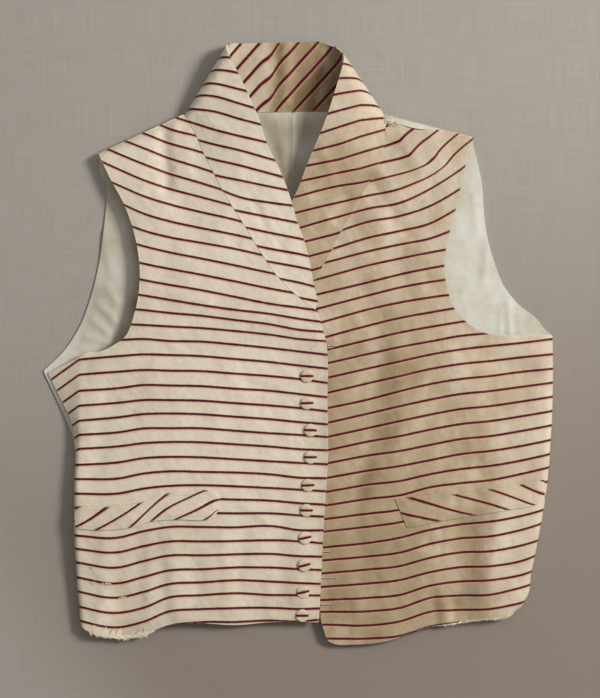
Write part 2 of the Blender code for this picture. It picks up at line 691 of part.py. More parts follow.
def main():
    for old in list(bpy.data.objects):
        bpy.data.objects.remove(old)
    silk = material("striped silk", SILK, 0.62)
    cotton = material("plain cotton", COTTON, 0.85)
    grid = collar_points()
    make_collar(grid, silk)
    seam = grid[:, 0]
    turn = np.flatnonzero(seam[:, 2] <= COLLAR_IS_UP)
    right_seam = seam_beside(seam[:turn[0], :2], 1)
    left_seam = seam_beside(seam[turn[-1] + 1:][::-1, :2], -1)
    face, triangles = make_right_front(right_seam, silk)
    make_left_front(left_seam, silk)
    under = seam[turn[0]:turn[-1] + 1]
    under = under[under[:, 2] < COLLAR_SEAM_Z + SEAM_LEVEL][:, :2] - (0, NECK_SIDE * SEAM_GAP)
    middle, left_end = NECK_ROOM
    right_half = under[under[:, 0] < BACK_SEAM_X - middle][::-1]
    is_left = (under[:, 0] > BACK_SEAM_X + middle) & (under[:, 0] < BACK_NECK_CUT[0] - left_end)
    left_half = np.concatenate([under[is_left], [BACK_NECK_CUT]])
    make_back(
        "back_right", right_half, RIGHT_SHOULDER, True, None, BACK_RIGHT_ARMHOLE, BACK_RIGHT_SIDE, cotton,
    )
    make_back(
        "back_left", left_half, LEFT_SHOULDER, False, LEFT_SHOULDER_SEAM, BACK_LEFT_ARMHOLE, BACK_LEFT_SIDE,
        cotton,
    )
    for number, (x, y) in enumerate(BUTTONS, 1):
        make_button(number, x, y, face, triangles, silk)


main()
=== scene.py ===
# %% [markdown]
# # A striped silk waistcoat, laid flat
# The real thing is a man's waistcoat of about 1820 to 1840. Two fronts and a tall collar of cream
# silk with narrow woven maroon stripes are sewn to a plain cotton back, and it lies on its back
# with the right front over the left one. Tables are in millimetres, as a maker would measure:
# x to the picture's right, y towards the collar, z up from the board. Right and left are the
# wearer's, so the right front is at -x.

# %% Load the frame
import math
import random

import bmesh
import bpy
import numpy as np
from mathutils import Matrix, Vector, noise
from mathutils.kdtree import KDTree


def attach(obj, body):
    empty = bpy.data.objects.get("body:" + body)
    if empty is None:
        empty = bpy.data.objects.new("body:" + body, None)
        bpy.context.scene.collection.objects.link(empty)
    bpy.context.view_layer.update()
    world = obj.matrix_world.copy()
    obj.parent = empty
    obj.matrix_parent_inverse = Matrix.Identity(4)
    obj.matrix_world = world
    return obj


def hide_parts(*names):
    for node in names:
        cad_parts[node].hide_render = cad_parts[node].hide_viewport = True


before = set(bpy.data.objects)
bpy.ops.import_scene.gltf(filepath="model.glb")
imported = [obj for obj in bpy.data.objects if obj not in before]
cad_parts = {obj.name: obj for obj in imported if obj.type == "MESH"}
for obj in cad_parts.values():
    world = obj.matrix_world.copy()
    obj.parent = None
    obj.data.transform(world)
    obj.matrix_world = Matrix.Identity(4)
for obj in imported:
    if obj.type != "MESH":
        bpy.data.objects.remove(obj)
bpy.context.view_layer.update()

# %% [markdown]
# ## Sizes
# Cloth hardly stretches, so a garment is a few flat pieces laid over a form. The form here is a
# table of heights, the pieces are outlines with few points, and both are read along smooth curves.

# %% Driving sizes
MM = 0.001
WALL = 1.5  # silk, interlining and lining together
LAP = 2.3  # how far the right front lies above the left one
SEAM_GAP = 0.3
CLOTH_CELL = 2.6  # size of the faces in the fronts
BACK_CELL = 2.8
BORDER_STEP = 0.8  # how far apart the points of a cut edge are
BUTTON_DIAMETER = 13.0
BUTTON_HEIGHT = 1.9
BACK_SEAM_X = -5.0
BACK_SEAM_GAP = 0.06
BACK_HEM_Y = -262.0
RIM_Z = WALL + SEAM_GAP  # the fronts' side edges stand on the back
RIM_TUCK = 0.25  # share of the wall by which a round side edge stands lower than a flat one
FLAP_GAP = 0.15  # between the back's shoulder strip and the front
TIP_CORNER = 0.03  # share of the shoulder left free at its tip
NECK_CORNER = 0.06  # and at the neck
BACK_NECK_CUT = (83.0, 221.0)  # the back's corner, cut short under the collar's left end
SHOULDER_Y = 150  # the cloth rolls round the shoulders beyond this
NECK_MIDDLE = (0, 230)

# Height of the fronts' face without the lap: y, then z at each x of FORM_X
FORM_X = (-230, -120, 10, 120, 230)
FORM = [
    (310, 11.0, 11.0, 12.0, 12.0, 12.0),
    (229, 10.5, 11.0, 13.0, 12.5, 11.0),
    (150, 12.0, 13.0, 15.0, 13.5, 11.5),
    (60, 11.5, 14.5, 16.0, 14.0, 12.0),
    (-20, 9.0, 15.5, 15.5, 16.0, 14.0),
    (-110, 11.0, 16.0, 14.5, 16.5, 15.0),
    (-190, 13.0, 15.0, 13.0, 14.5, 13.5),
    (-250, 9.5, 11.0, 10.5, 10.5, 10.0),
    (-305, 7.5, 8.5, 8.5, 8.0, 8.0),
]

# Large folds: from x, y to x, y, half-width, height (hollows are negative)
FOLDS = [
    (-134, 214, -131, 156, 6.5, -3.8),
    (-174, -262, -172, -298, 16, -2.6),
    (-112, -262, -108, -284, 22, 2.0),
    (-40, -262, -36, -284, 20, -1.6),
    (104, 208, 120, 176, 6, 1.5),
    (60, 150, 112, 196, 10, 1.8),
    (52, 118, 110, 150, 11, 1.6),
    (112, -272, 92, -300, 18, 2.0),
    (165, -262, 160, -285, 16, -1.8),
    (197, -175, 190, -272, 13, 2.8), (138, -190, 134, -262, 12, 1.8), (163, -185, 160, -262, 10, -1.4),
    (96, -10, 92, -130, 13, 1.6), (72, -20, 66, -130, 9, -1.2), (60, -160, 62, -240, 10, -1.2),
    (-205, -130, -190, -60, 12, -1.6), (-128, -196, -124, -262, 9, 1.6), (-76, -200, -74, -262, 10, 1.4),
    (-20, -190, -16, -262, 10, -1.2), (-192, -196, -194, -262, 9, 1.4),
    (168, -5, 232, -30, 12, -1.8),
]

# Small creases, in the same columns
CREASES_RIGHT = [
    (-121, 211, -122, 222, 3, 0.8), (-150, 60, -90, 40, 7, 0.7), (-152, 20, -80, 5, 8, 0.6),
    (-190, -40, -150, -58, 8, -0.6), (-60, 30, 0, 12, 6, 0.6), (-133, 92, -133, 36, 9, -0.9),
    (-110, -120, -40, -112, 8, -0.5), (-200, -100, -150, -96, 6, 0.5), (-60, -60, -20, -64, 5, -0.4),
    (-80, 120, -68, 80, 6, 0.6), (-120, 150, -100, 100, 8, -0.7), (-150, 190, -158, 150, 7, 1.0),
    (-112, 205, -110, 170, 6, 1.0), (-160, -190, -160, -262, 8, -1.3), (-147, -206, -149, -270, 6, 0.7),
    (-135, -224, -132, -274, 5, -0.8), (-118, -215, -116, -268, 8, 0.5), (-101, -226, -98, -276, 6, -0.8),
    (-89, -216, -86, -262, 7, 0.5), (-79, -205, -80, -250, 4, -0.5), (-64, -225, -68, -272, 7, 0.5),
    (-55, -196, -59, -246, 5, -0.7), (-34, -220, -38, -276, 6, -0.6), (-23, -18, -1, -35, 3, 0.8),
    (-48, -42, -8, -54, 4, -0.7), (-36, -116, -6, -132, 3, 0.7), (-58, -160, -28, -181, 3, 0.7),
    (-52, -150, -20, -158, 4, -0.5), (-176, -238, -150, -226, 3, 0.7), (-206, -226, -186, -240, 3, 0.7),
    (-196, -255, -200, -286, 6, 0.9), (-70, -20, -40, -90, 9, 0.5), (-18, -60, -14, -250, 7, -0.5),
]
CREASES_LEFT = [
    (72, 165, 98, 128, 4, -1.3), (82, 172, 110, 138, 4, 1.1), (56, 158, 84, 118, 5, 0.8),
    (92, 122, 124, 98, 5, -1.0), (60, 60, 84, 28, 5, -0.9), (100, 70, 126, 20, 7, -0.9),
    (112, 84, 136, 34, 6, 0.8), (44, 110, 66, 84, 4, 0.8), (90, 210, 110, 190, 4, 0.8),
    (46, 40, 70, 6, 5, 0.8), (60, -2, 76, -22, 4, -0.9), (80, 0, 84, -60, 8, -0.9),
    (70, -20, 64, -110, 6, 0.8), (98, 0, 102, -90, 7, 0.8), (180, 60, 176, -60, 10, 0.5),
    (38, 10, 66, -2, 4, 0.7), (30, -40, 60, -30, 5, 0.5), (150, -30, 146, -130, 8, -0.7),
    (176, -90, 182, -130, 6, -0.9), (66, -170, 88, -240, 6, 0.8), (78, -180, 76, -262, 7, -0.9),
    (144, -190, 142, -215, 2.5, -0.7), (150, -205, 153, -255, 7, -0.6), (136, -250, 140, -282, 4, -1.6),
    (146, -255, 150, -280, 4, 1.2), (175, -188, 172, -252, 7, -0.6), (192, -172, 190, -206, 4, -0.5),
    (185, -196, 183, -250, 7, 0.5), (120, -180, 122, -255, 7, 0.7), (60, -262, 56, -298, 5, 0.9),
    (30, -238, 52, -262, 3, -1.0), (28, -262, 50, -288, 3, -1.0), (26, -226, 44, -242, 2.5, 0.8),
    (200, -30, 240, -10, 6, 0.7), (196, -60, 190, -130, 8, -0.5), (226, -16, 250, -8, 3, 0.6),
    (156, 186, 132, 150, 6, -0.6), (140, 196, 128, 172, 4, 0.6),
]

# Silhouettes: y, x of the side edge, width of the roll, roundness
RIGHT_SIDE = [
    (20, -264, 45, 0.0), (-30, -251, 33, 0.0), (-60, -239.5, 21, 0.0), (-95, -226, 7, 0.2),
    (-110, -223.3, 5, 0.9), (-136, -224, 6, 1.0), (-174, -224.5, 6, 1.0), (-235, -222, 6, 1.0),
    (-264, -219.6, 6, 1.0), (-300, -217, 6, 1.0),
]
LEFT_SIDE = [
    (20, 255.5, 46, 0.8), (8, 255.5, 44, 0.8), (-17, 256, 26, 1.0), (-57, 255.6, 15, 1.0),
    (-102, 253.4, 13, 1.0), (-140, 250.4, 13, 1.0), (-160, 247.6, 13, 1.0), (-205, 239.5, 13, 1.0),
    (-232, 234, 12, 1.0), (-256, 229, 11, 1.0), (-270, 217, 11, 1.0), (-300, 205, 11, 1.0),
]
# Shoulder silhouettes, from the neck to the tip
RIGHT_SHOULDER = ((-113.0, 228.5), (-200.0, 190.0))
LEFT_SHOULDER = ((86.5, 229.3), (176.0, 206.4))
print(len(FOLDS), "folds,", len(CREASES_RIGHT) + len(CREASES_LEFT), "creases")

# %% Cut edges in plan: x, y
RIGHT_ARMHOLE = [
    (-200, 190), (-187, 163), (-174, 139), (-161, 98), (-158, 64), (-163, 31), (-174, 5),
    (-184, -2), (-196, -8), (-211, -10), (-218, -14), (-251, -30),
]
RIGHT_SIDE_EDGE = [(-251, -30), (-238, -56), (-230, -72), (-225, -88), (-223, -104)]
RIGHT_SIDE_BELOW = [(-223, -104), (-224, -136), (-224.5, -174), (-222, -235), (-218.5, -277)]
RIGHT_HEM = [
    (-218.5, -277), (-212, -285), (-190, -293.5), (-174, -295), (-151, -291), (-128, -282),
    (-116, -280.3), (-58, -282), (-28, -279.5), (21, -279.4),
]
RIGHT_FRONT_EDGE = [
    (21, -279.4), (23.6, -227), (27, -161), (29.8, -121), (30, -80), (29.4, -54), (30, -25),
    (28, 1), (21.7, 24), (20, 31.5),
]
LEFT_SHOULDER_SEAM = [
    (87.2, 226.5), (100, 219), (118, 213.4), (138, 212), (159, 209.6), (176, 205.6),
]
LEFT_ARMHOLE = [
    (176, 205.6), (168, 179), (158, 134), (148, 93), (146.4, 77), (151, 48), (156, 35),
    (167, 22), (178, 14.5), (190, 9), (209, 7.6), (231, 8.5), (255.5, 8),
]
LEFT_SIDE_EDGE = [
    (255.5, 8), (256, -17), (255.6, -57), (253.4, -102), (250.4, -140), (247.6, -160),
    (239.5, -205), (234, -232), (229, -256), (224, -265), (217, -270),
]
LEFT_HEM = [
    (217, -270), (207, -275), (187, -276.5), (155, -281.5), (129, -285.4), (110, -291.7),
    (97.5, -296), (80, -300), (56, -302), (34, -300.5), (29, -297.6),
]
LEFT_FRONT_EDGE = [
    (29, -297.6), (26, -288), (23, -277), (22, -265), (16, -237), (12, -207), (11, -157),
    (11, -77), (9, -17), (5, 23), (3.8, 36.6),
]
BACK_RIGHT_ARMHOLE = [
    (-199.5, 180), (-198, 168), (-192.5, 160), (-192, 150), (-194, 124), (-202, 69),
    (-209, 43), (-218, 19), (-236, -9), (-255.8, -28),
]
BACK_RIGHT_SIDE = [
    (-255.8, -28), (-241, -59), (-226.5, -93), (-223.3, -106), (-223.6, -136), (-224.1, -174),
    (-221.6, -235), (-219, -258),
]
BACK_LEFT_ARMHOLE = [
    (176, 199), (181, 179), (184.7, 160), (186.4, 136), (190, 107), (196.7, 83), (207, 57),
    (222.5, 38), (238, 26), (250, 12), (255.5, 7.6),
]
BACK_LEFT_SIDE = [
    (255.5, 7.6), (255.4, -17), (253.6, -57), (250.1, -102), (247.6, -154), (238.1, -205),
    (228.6, -256),
]

# The collar, a row for each section: seam x, y, then free edge x, y
COLLAR_RIGHT = [
    (17.5, 33.4, 20.2, 39), (-4, 50, 18, 49), (-18, 64, 15.4, 61), (-40.5, 96, 10.7, 86),
    (-52, 115.5, 6, 103), (-64, 134, -0.5, 120.5), (-75, 152, -5.5, 138), (-85, 171.5, -11, 155),
    (-94, 189.5, -21, 179), (-102, 208, -31, 199), (-109, 221, -38, 221),
    (-112.6, 228.3, -48, 244),
]
COLLAR_BACK = [
    (-43, 231.7, -52, 300.6), (-20, 232, -21, 301), (6, 232.4, 6, 302), (31, 232.6, 22, 302.2),
    (46, 232.3, 35, 298.8),
]
COLLAR_LEFT = [
    (86.2, 229, 37, 251), (87.5, 213, 31, 232), (86, 197, 24, 213), (80, 178, 15, 192),
    (71, 160, 8, 175), (62, 146, 1, 156), (54, 130, -6, 141), (43.5, 112, -10, 124),
    (36, 97, -12, 106), (19, 67, -10.5, 82), (11, 53, -6, 60), (4.5, 38.5, 1, 43),
]
# Where each half of the collar turns under: from the neck seam to the free edge
COLLAR_RIGHT_FOLD = ((-113.0, 229.0), (-70.4, 298.0))
COLLAR_LEFT_FOLD = ((86.5, 229.0), (42.5, 293.0))
# How far the free edge stands above the fronts: y, right half, left half
COLLAR_LIFT = [
    (128, 0, 0), (150, 1, 2), (180, 4, 7), (200, 7, 11), (229, 11, 16), (265, 14, 20), (305, 16, 21),
]
COLLAR_BULGE = [(120, 0, 0), (170, 1.5, 2.5), (229, 2.5, 4.5), (305, 2.0, 4.0)]
COLLAR_SEAM_Z = 0.3  # outer face of the collar at the back of the neck
COLLAR_EDGE_Z = 5.0

# Pocket welts: top x, y, then bottom x, y
RIGHT_WELT = [
    (-222.2, -163, -222.2, -185), (-204, -163.4, -202, -186.7), (-178, -162.6, -183, -186),
    (-155, -158.6, -165, -183.6), (-135, -151, -147, -178), (-113, -148, -121, -176),
    (-91, -147, -91, -176.4), (-77, -153.5, -81, -170),
]
LEFT_WELT = [
    (97, -156, 109, -184.4), (126, -152, 141, -178), (156, -151, 175, -172),
    (192, -145.7, 210, -166.7), (224, -141, 236.5, -161.6), (246.0, -136.3, 246.4, -154),
]

# Buttons: x, y, and how far their stripe tilts, in degrees
BUTTONS = [
    (9, -33, 0), (9, -60, 2), (12.5, -87, -2), (12.5, -114, 0), (10, -142, 2), (8.5, -167, 0),
    (7, -194.5, 12), (6.4, -222, 14), (5, -249, 12), (4.3, -272.5, 0),
]
# Half section of a button: radius, height, as shares of the radius and the height
BUTTON_SECTION = [
    (0.0, 0.0), (0.80, 0.0), (0.97, 0.18), (1.0, 0.40), (0.96, 0.62), (0.84, 0.80), (0.60, 0.92),
    (0.30, 0.98), (0.0, 1.0),
]
print("pocket welts", len(RIGHT_WELT), "and", len(LEFT_WELT), "rows,", len(BUTTONS), "buttons")

# %% [markdown]
# ## Stripes, charted
# The stripes were woven straight, but the cloth was cut, sewn and worn, so each one wanders. A
# chart keeps every stripe as its distance down from one level line at a few places across the
# cloth. Each point of the mesh then gets its place between two stripes, and the material draws a
# stripe at each whole number. That keeps the pattern on the cloth, whatever the camera does.

# %% Stripe charts: mm down from the level line CHART_TOP, at each x of the heading
CHART_TOP = 343.0
RIGHT_CHART_X = (-223, -178, -155, -128, -98, -63, -28, 2, 28)
RIGHT_CHART = [
    (56, 78, 89, 101, 112, 125, 138, 149, 158),
    (70, 92, 103, 115, 126, 139, 152, 163, 172),
    (84, 105, 115.5, 129, 137, 150, 163, 174, 183),
    (103, 122.5, 133, 143.5, 152, 164, 176, 187, 196),
    (117, 138.7, 148, 158.5, 168, 180, 192, 202, 211),
    (134, 154.5, 164, 174, 183, 194, 205, 215, 223),
    (149, 170, 180, 189, 197, 206.5, 217, 227, 235),
    (166, 186, 196, 204.5, 212, 220, 230, 239, 246),
    (183, 203, 213.5, 221.5, 228, 235, 243, 251, 257),
    (203, 221.5, 230.5, 237.5, 242.7, 249, 257, 264, 269),
    (224, 239, 246, 252.5, 258.4, 265.5, 273, 279, 283),
    (246, 258, 263.6, 269, 274.6, 281.5, 288.7, 294, 298),
    (265, 275, 280, 285, 290, 297, 304, 308, 312),
    (285, 292, 295.4, 300, 305, 310, 314, 319, 322.5),
    (304, 308, 310, 313, 315.6, 320, 324.4, 330, 332),
    (324, 324, 325, 326.5, 328, 331, 334.6, 339, 341),
    (343, 340, 339, 341, 341.5, 344.5, 348, 351.5, 354.6),
    (360, 356, 354.4, 355, 356, 359, 362, 365.6, 368.4),
    (375, 371.5, 370, 370.6, 371, 373.5, 376, 379, 382.7),
    (391, 388, 385, 385.4, 386, 388.5, 390.7, 394, 397),
    (406, 402.5, 400, 400, 400.5, 403, 405.4, 408, 411),
    (421, 417, 414, 413.3, 414, 416.5, 419, 422, 424),
    (435, 432, 428.4, 428, 428, 430.5, 433, 434.7, 436.7),
    (449, 446, 443, 441.7, 442, 444, 446.3, 449, 450),
    (465, 462, 458, 456.6, 457, 459, 461, 462.7, 464),
    (479, 478, 473.4, 471, 471.5, 472.2, 474, 477.5, 478),
    (493.5, 493, 488.4, 485.5, 484.8, 486, 487.7, 489.4, 491),
    (507, 507, 503, 499.5, 498.5, 499.2, 500.3, 503, 504.5),
    (521, 522, 517.5, 513.5, 512.6, 513, 513, 515, 516.5),
    (535.4, 537, 531, 526.5, 526.5, 527, 525.6, 530, 530),
    (548.6, 551.7, 546, 541, 541, 540.7, 540, 541, 543.4),
    (562, 567, 561, 555, 555, 554, 553.7, 556, 556.5),
    (577, 583, 577, 570, 569, 567.2, 567.4, 569, 570),
    (591, 597.5, 592, 583.6, 582.2, 580, 581.4, 583, 584),
    (606, 613, 608, 597, 595, 593, 595, 595, 595.5),
    (620, 627.5, 622, 611, 609, 608, 608, 609, 608),
    (634, 641, 636, 625.6, 622, 622, 620.7, 621.4, 619),
    (648, 655, 650, 640, 636, 636, 635, 635, 633),
]
LEFT_CHART_X = (30, 72, 102, 132, 162, 192, 222, 252)
LEFT_CHART = [
    (117, 105, 99, 86, 70, 50, 40, 30),
    (131.5, 119.3, 113, 98, 82, 62, 52, 42),
    (148.5, 134, 124.5, 106, 86, 76, 66, 56),
    (162.5, 150, 141, 121, 101, 90, 80, 70),
    (176, 165, 155.5, 137, 113, 100, 90, 80),
    (188.5, 181.5, 171.5, 157, 132, 110, 100, 90),
    (205, 195.5, 189, 174.5, 149, 125, 110, 100),
    (220, 208.5, 203, 189, 169.5, 146, 130, 115),
    (235, 221.5, 216, 206, 189, 168, 150, 135),
    (250.5, 237.5, 231, 223.5, 207, 190, 175, 160),
    (262, 251, 244.5, 238.5, 227, 214, 200, 190),
    (276.5, 265, 258.5, 252.5, 247, 240, 230, 220),
    (292, 282, 274.5, 268.3, 263, 258, 250, 245),
    (306, 295, 287.5, 282, 278, 274, 268, 264),
    (320.5, 309, 302.5, 297.5, 293.5, 290, 285, 282),
    (336.5, 325.2, 318, 312.5, 307.5, 304, 299, 297),
    (349.5, 339.5, 332.5, 327, 322, 318, 314, 312),
    (363, 353.5, 347, 341.5, 336, 333, 329, 326),
    (377.6, 368, 361.3, 354.6, 349.5, 346, 343, 339.3),
    (392.7, 382.7, 376, 369, 364, 361, 357.5, 354.5),
    (408, 399, 391, 384, 379, 376, 372, 369),
    (422.6, 413, 406, 399.5, 394, 391, 387, 383),
    (436.7, 427.5, 420.8, 414.5, 409, 406, 401.7, 397),
    (450, 441, 435.8, 429.5, 424, 421, 416.4, 411.3),
    (463, 455, 450.7, 444.7, 439, 436, 431, 425.5),
    (477.6, 470.2, 465.7, 460, 454, 450.8, 446, 440),
    (491.5, 484.2, 480.7, 474, 469, 465.7, 460.6, 454),
    (505, 498.5, 495, 487, 483, 480, 474, 467),
    (518.6, 513.3, 509.5, 501, 497, 494, 488, 481),
    (531, 526.3, 522, 515, 510.5, 507.5, 502, 495.5),
    (547, 542.7, 537.5, 529.5, 524.4, 521.2, 516, 508),
    (560, 556.3, 552.5, 543.5, 538.4, 536, 530, 521),
    (573, 569.4, 566, 557.5, 552.5, 551, 545.7, 537),
    (586.6, 583.5, 580, 572, 567.4, 566, 561.4, 550),
    (600, 598, 595, 585.6, 581.8, 580, 575.4, 565),
    (612, 611.4, 608, 598, 596, 594.6, 588, 579),
    (625, 625.6, 621.5, 612, 610.5, 609, 603.5, 594),
    (639, 638.8, 636, 627, 623, 622, 617, 608),
    (653, 653, 650, 641, 637, 636, 631, 622),
]
COLLAR_RIGHT_CHART_X = (-108, -83, -58, -28, 2, 18)
COLLAR_RIGHT_CHART = [
    (30, 37, 44, 50, 56, 60), (50, 57, 61, 66, 72, 76), (70, 71, 75, 84, 92, 96),
    (84, 85, 91, 99, 107, 112), (95.5, 97.5, 105, 114, 123, 128), (109, 112.5, 120, 128, 137, 142),
    (122, 130.5, 137, 144, 152, 156), (138, 145, 151, 159.5, 167, 171), (153, 160, 166, 174, 182, 186),
    (168, 175.5, 180.7, 187, 193, 197), (181, 188, 197.5, 203, 207, 210),
    (200, 206, 211.5, 217.5, 223.5, 227), (216, 221.5, 226.5, 233, 239, 242.5),
    (231, 237, 242.5, 249, 254.5, 258), (246, 252, 257, 262, 267.5, 271),
    (261, 266, 271, 277, 283, 287), (279, 283, 287, 292, 298, 301), (293, 297, 301, 306, 311, 315),
]
COLLAR_LEFT_CHART_X = (2, 22, 42, 62, 86)
COLLAR_LEFT_CHART = [
    (49, 45, 38, 35, 33), (64, 60, 53, 50, 48), (72, 69, 66, 65, 66), (86, 84, 80.5, 79.5, 83),
    (104, 100, 95.5, 92, 93), (122, 117.5, 112, 106.5, 106), (141, 134.5, 128, 121.5, 118),
    (154.5, 150, 145, 137.5, 130), (167.5, 164, 160, 153.5, 146), (181.5, 177.5, 173, 169, 161.5),
    (196, 190.5, 186, 183, 177), (212, 207, 202.5, 197.7, 192.5), (228, 222, 216.5, 211, 206.5),
    (243, 238, 232.5, 224, 218.5), (259, 253.5, 248, 240, 234), (273, 268, 259.5, 254, 248),
    (284, 279, 273, 268, 262), (298, 293, 287, 282, 276), (312, 307, 301, 296, 290),
]
# Welt stripes: x at the top edge, in the middle and at the bottom edge
RIGHT_WELT_CHART = [
    (-245, -260, -275), (-219, -234, -248), (-190, -206, -224), (-156, -179, -202.4), (-130, -150, -168),
    (-91, -127, -147), (-72, -92, -122.5), (-50, -64, -94), (-36, -56, -68),
]
LEFT_WELT_CHART = [
    (22, 60, 96), (67, 104, 141.5), (110, 143, 176), (156, 185, 210), (191, 215, 236.5),
    (223, 238.5, 250), (243, 257, 270), (265, 280, 292),
]
WELT_LEVELS = (0.0, 0.5, 1.0)
WELT_SPACING = 14.8
print(len(RIGHT_CHART), "stripes on the right front,", len(LEFT_CHART), "on the left")

# %% Curves through tables
def share_of(value):
    """A share, kept between 0 and 1."""
    return np.clip(value, 0, 1)


def smooth(stations, values, at):
    """Reads a table along a smooth curve through its rows."""
    stations = np.asarray(stations, float)
    at = np.asarray(at, float)
    values = np.broadcast_to(np.asarray(values, float), at.shape + stations.shape)
    if stations[0] > stations[-1]:
        stations = stations[::-1]
        values = values[..., ::-1]
    step = np.diff(stations)
    slope = np.diff(values, axis=-1) / step
    tangent = np.concatenate([slope[..., :1], slope], axis=-1)
    share = step[:-1] / (step[:-1] + step[1:])
    tangent[..., 1:-1] = (1 - share) * slope[..., :-1] + share * slope[..., 1:]
    at = np.clip(at, stations[0], stations[-1])
    row = np.clip(np.searchsorted(stations, at) - 1, 0, len(stations) - 2)
    t = (at - stations[row]) / step[row]

    def pick(table, index):
        return np.take_along_axis(table, index[..., None], axis=-1)[..., 0]

    before = (2 * t**3 - 3 * t**2 + 1) * pick(values, row)
    ends = before + (3 * t**2 - 2 * t**3) * pick(values, row + 1)
    bends = (t**3 - 2 * t**2 + t) * pick(tangent, row) + (t**3 - t**2) * pick(tangent, row + 1)
    return ends + bends * step[row]


def read(table, number, at):
    """Reads one column of a table between its rows, whose stations are its first column."""
    return smooth([row[0] for row in table], [row[number] for row in table], at)


def curve(points, step=BORDER_STEP):
    """Even points along a smooth curve through a few chosen ones."""
    points = np.asarray(points, float)
    length = np.concatenate([[0.0], np.cumsum(np.hypot(*np.diff(points, axis=0).T))])
    at = np.linspace(0.0, length[-1], max(1, round(length[-1] / step)) + 1)
    return np.stack([smooth(length, points[:, 0], at), smooth(length, points[:, 1], at)], axis=1)


def join(edges):
    """Closed outline of a cut piece, from edges that each end where the next one starts."""
    return np.concatenate([edge[:-1] for edge in edges])


def inside(border, points):
    """Which points lie inside a closed outline."""
    result = np.zeros(len(points), bool)
    for (x0, y0), (x1, y1) in zip(border, np.roll(border, -1, axis=0)):
        if y0 == y1:
            continue
        crosses = (points[:, 1] > y0) != (points[:, 1] > y1)
        result ^= crosses & (points[:, 0] < x0 + (points[:, 1] - y0) * (x1 - x0) / (y1 - y0))
    return result


# %% [markdown]
# ## The form that the fronts lie on
# Laid flat, the fronts still stand over a shallow hollow, roll down round at the side seams and
# shoulders, and keep a few long folds. One height for each plan point says all that.

# %% Heights
def along_line(x, y, x0, y0, x1, y1):
    """Distance of plan points from a short line."""
    share = ((x - x0) * (x1 - x0) + (y - y0) * (y1 - y0)) / ((x1 - x0) ** 2 + (y1 - y0) ** 2)
    share = share_of(share)
    return np.hypot(x - x0 - share * (x1 - x0), y - y0 - share * (y1 - y0))


def folds(table, x, y):
    """Height that soft folds add."""
    height = np.zeros_like(x)
    for x0, y0, x1, y1, width, rise in table:
        height += rise * np.exp(-((along_line(x, y, x0, y0, x1, y1) / width) ** 2))
    return height


def form(x, y):
    """Height of the left front's face away from its edges; the right front lies LAP higher."""
    x, y = np.asarray(x, float), np.asarray(y, float)
    rows = np.stack([read(FORM, 1 + i, y) for i in range(len(FORM_X))], axis=-1)
    return smooth(FORM_X, rows, x) + folds(FOLDS, x, y)


def round_up(share):
    """Quarter-round rise from 0 at an edge to 1."""
    return np.sqrt(1 - (1 - share_of(share)) ** 2)


def square_up(share):
    """Rise from 0 at an edge to 1 round a tighter turn, as a pressed side seam has."""
    return np.cbrt(1 - (1 - share_of(share)) ** 3) ** 0.9


def from_line(x, y, line):
    """Distance of a plan point below a shoulder line."""
    (x0, y0), (x1, y1) = line
    return abs((x1 - x0) * (y0 - y) - (x0 - x) * (y1 - y0)) / math.hypot(x1 - x0, y1 - y0)


def front_face(x, y, is_right):
    """Height of a front's outer face at plan points."""
    if is_right:
        crown = form(x, y) + LAP
        share = (x - read(RIGHT_SIDE, 1, y)) / read(RIGHT_SIDE, 2, y)
        roundness = share_of(read(RIGHT_SIDE, 3, y))
        shoulder = RIGHT_SHOULDER
        small = folds(CREASES_RIGHT, x, y) * share_of((10 - x) / 30)
    else:
        crown = form(x, y)
        share = (read(LEFT_SIDE, 1, y) - x) / read(LEFT_SIDE, 2, y)
        roundness = share_of(read(LEFT_SIDE, 3, y))
        shoulder = LEFT_SHOULDER
        small = folds(CREASES_LEFT, x, y) * share_of((x - 34) / 20)
    share = share_of(share)
    rim = RIM_Z + WALL * (1 - RIM_TUCK * roundness)
    height = rim + (crown + small - rim) * ((1 - roundness) * share + roundness * square_up(share))
    middle = (crown + small) / 2
    rolled = middle + middle * round_up(from_line(x, y, shoulder) / middle)
    return np.where(y > SHOULDER_Y, rolled, height)


# Wrinkles of every size: length in millimetres, height, stretch along y
CRUMPLES = [(46.0, 0.8, 0.8), (21.0, 0.6, 0.7), (11.0, 0.34, 1.0)]


def crumple(x, y):
    """Small uneven rise and fall of worn cloth, the same in each layer."""
    total = np.zeros(x.shape)
    for number, (length, rise, stretch) in enumerate(CRUMPLES):
        points = zip(np.ravel(x) / length, np.ravel(y) * stretch / length)
        drawn = [noise.noise(Vector((u, v, 7.3 * number))) for u, v in points]
        total += rise * np.reshape(drawn, x.shape)
    return total


def worn_face(x, y, is_right):
    """Height of a front's face with its crumples, which fade out towards the board."""
    z = front_face(x, y, is_right)
    return z + share_of((z - 6) / 5) * crumple(x, y)


def collar_low(across):
    """Height of the collar's outer face where it lies under, at the back of the neck."""
    return COLLAR_SEAM_Z + (COLLAR_EDGE_Z - COLLAR_SEAM_Z) * across**1.5


def collar_high(x, y, across, is_right):
    """Height of the collar's outer face where it lies on top."""
    side = 1 if is_right else 2
    lift = read(COLLAR_LIFT, side, y) * across + read(COLLAR_BULGE, side, y) * 4 * across * (1 - across)
    return form(x, y) + (LAP if is_right else 0.0) + lift


print("form at the chest", round(float(form(0.0, 0.0)), 2), "mm high")


# %% [markdown]
# ## Cloth that turns over a line
# The collar and the back's shoulder strips go round a fold: part lies below, part above. They are
# cut flat here as a maker cuts them, then rolled over a straight line, so the cloth keeps its size.

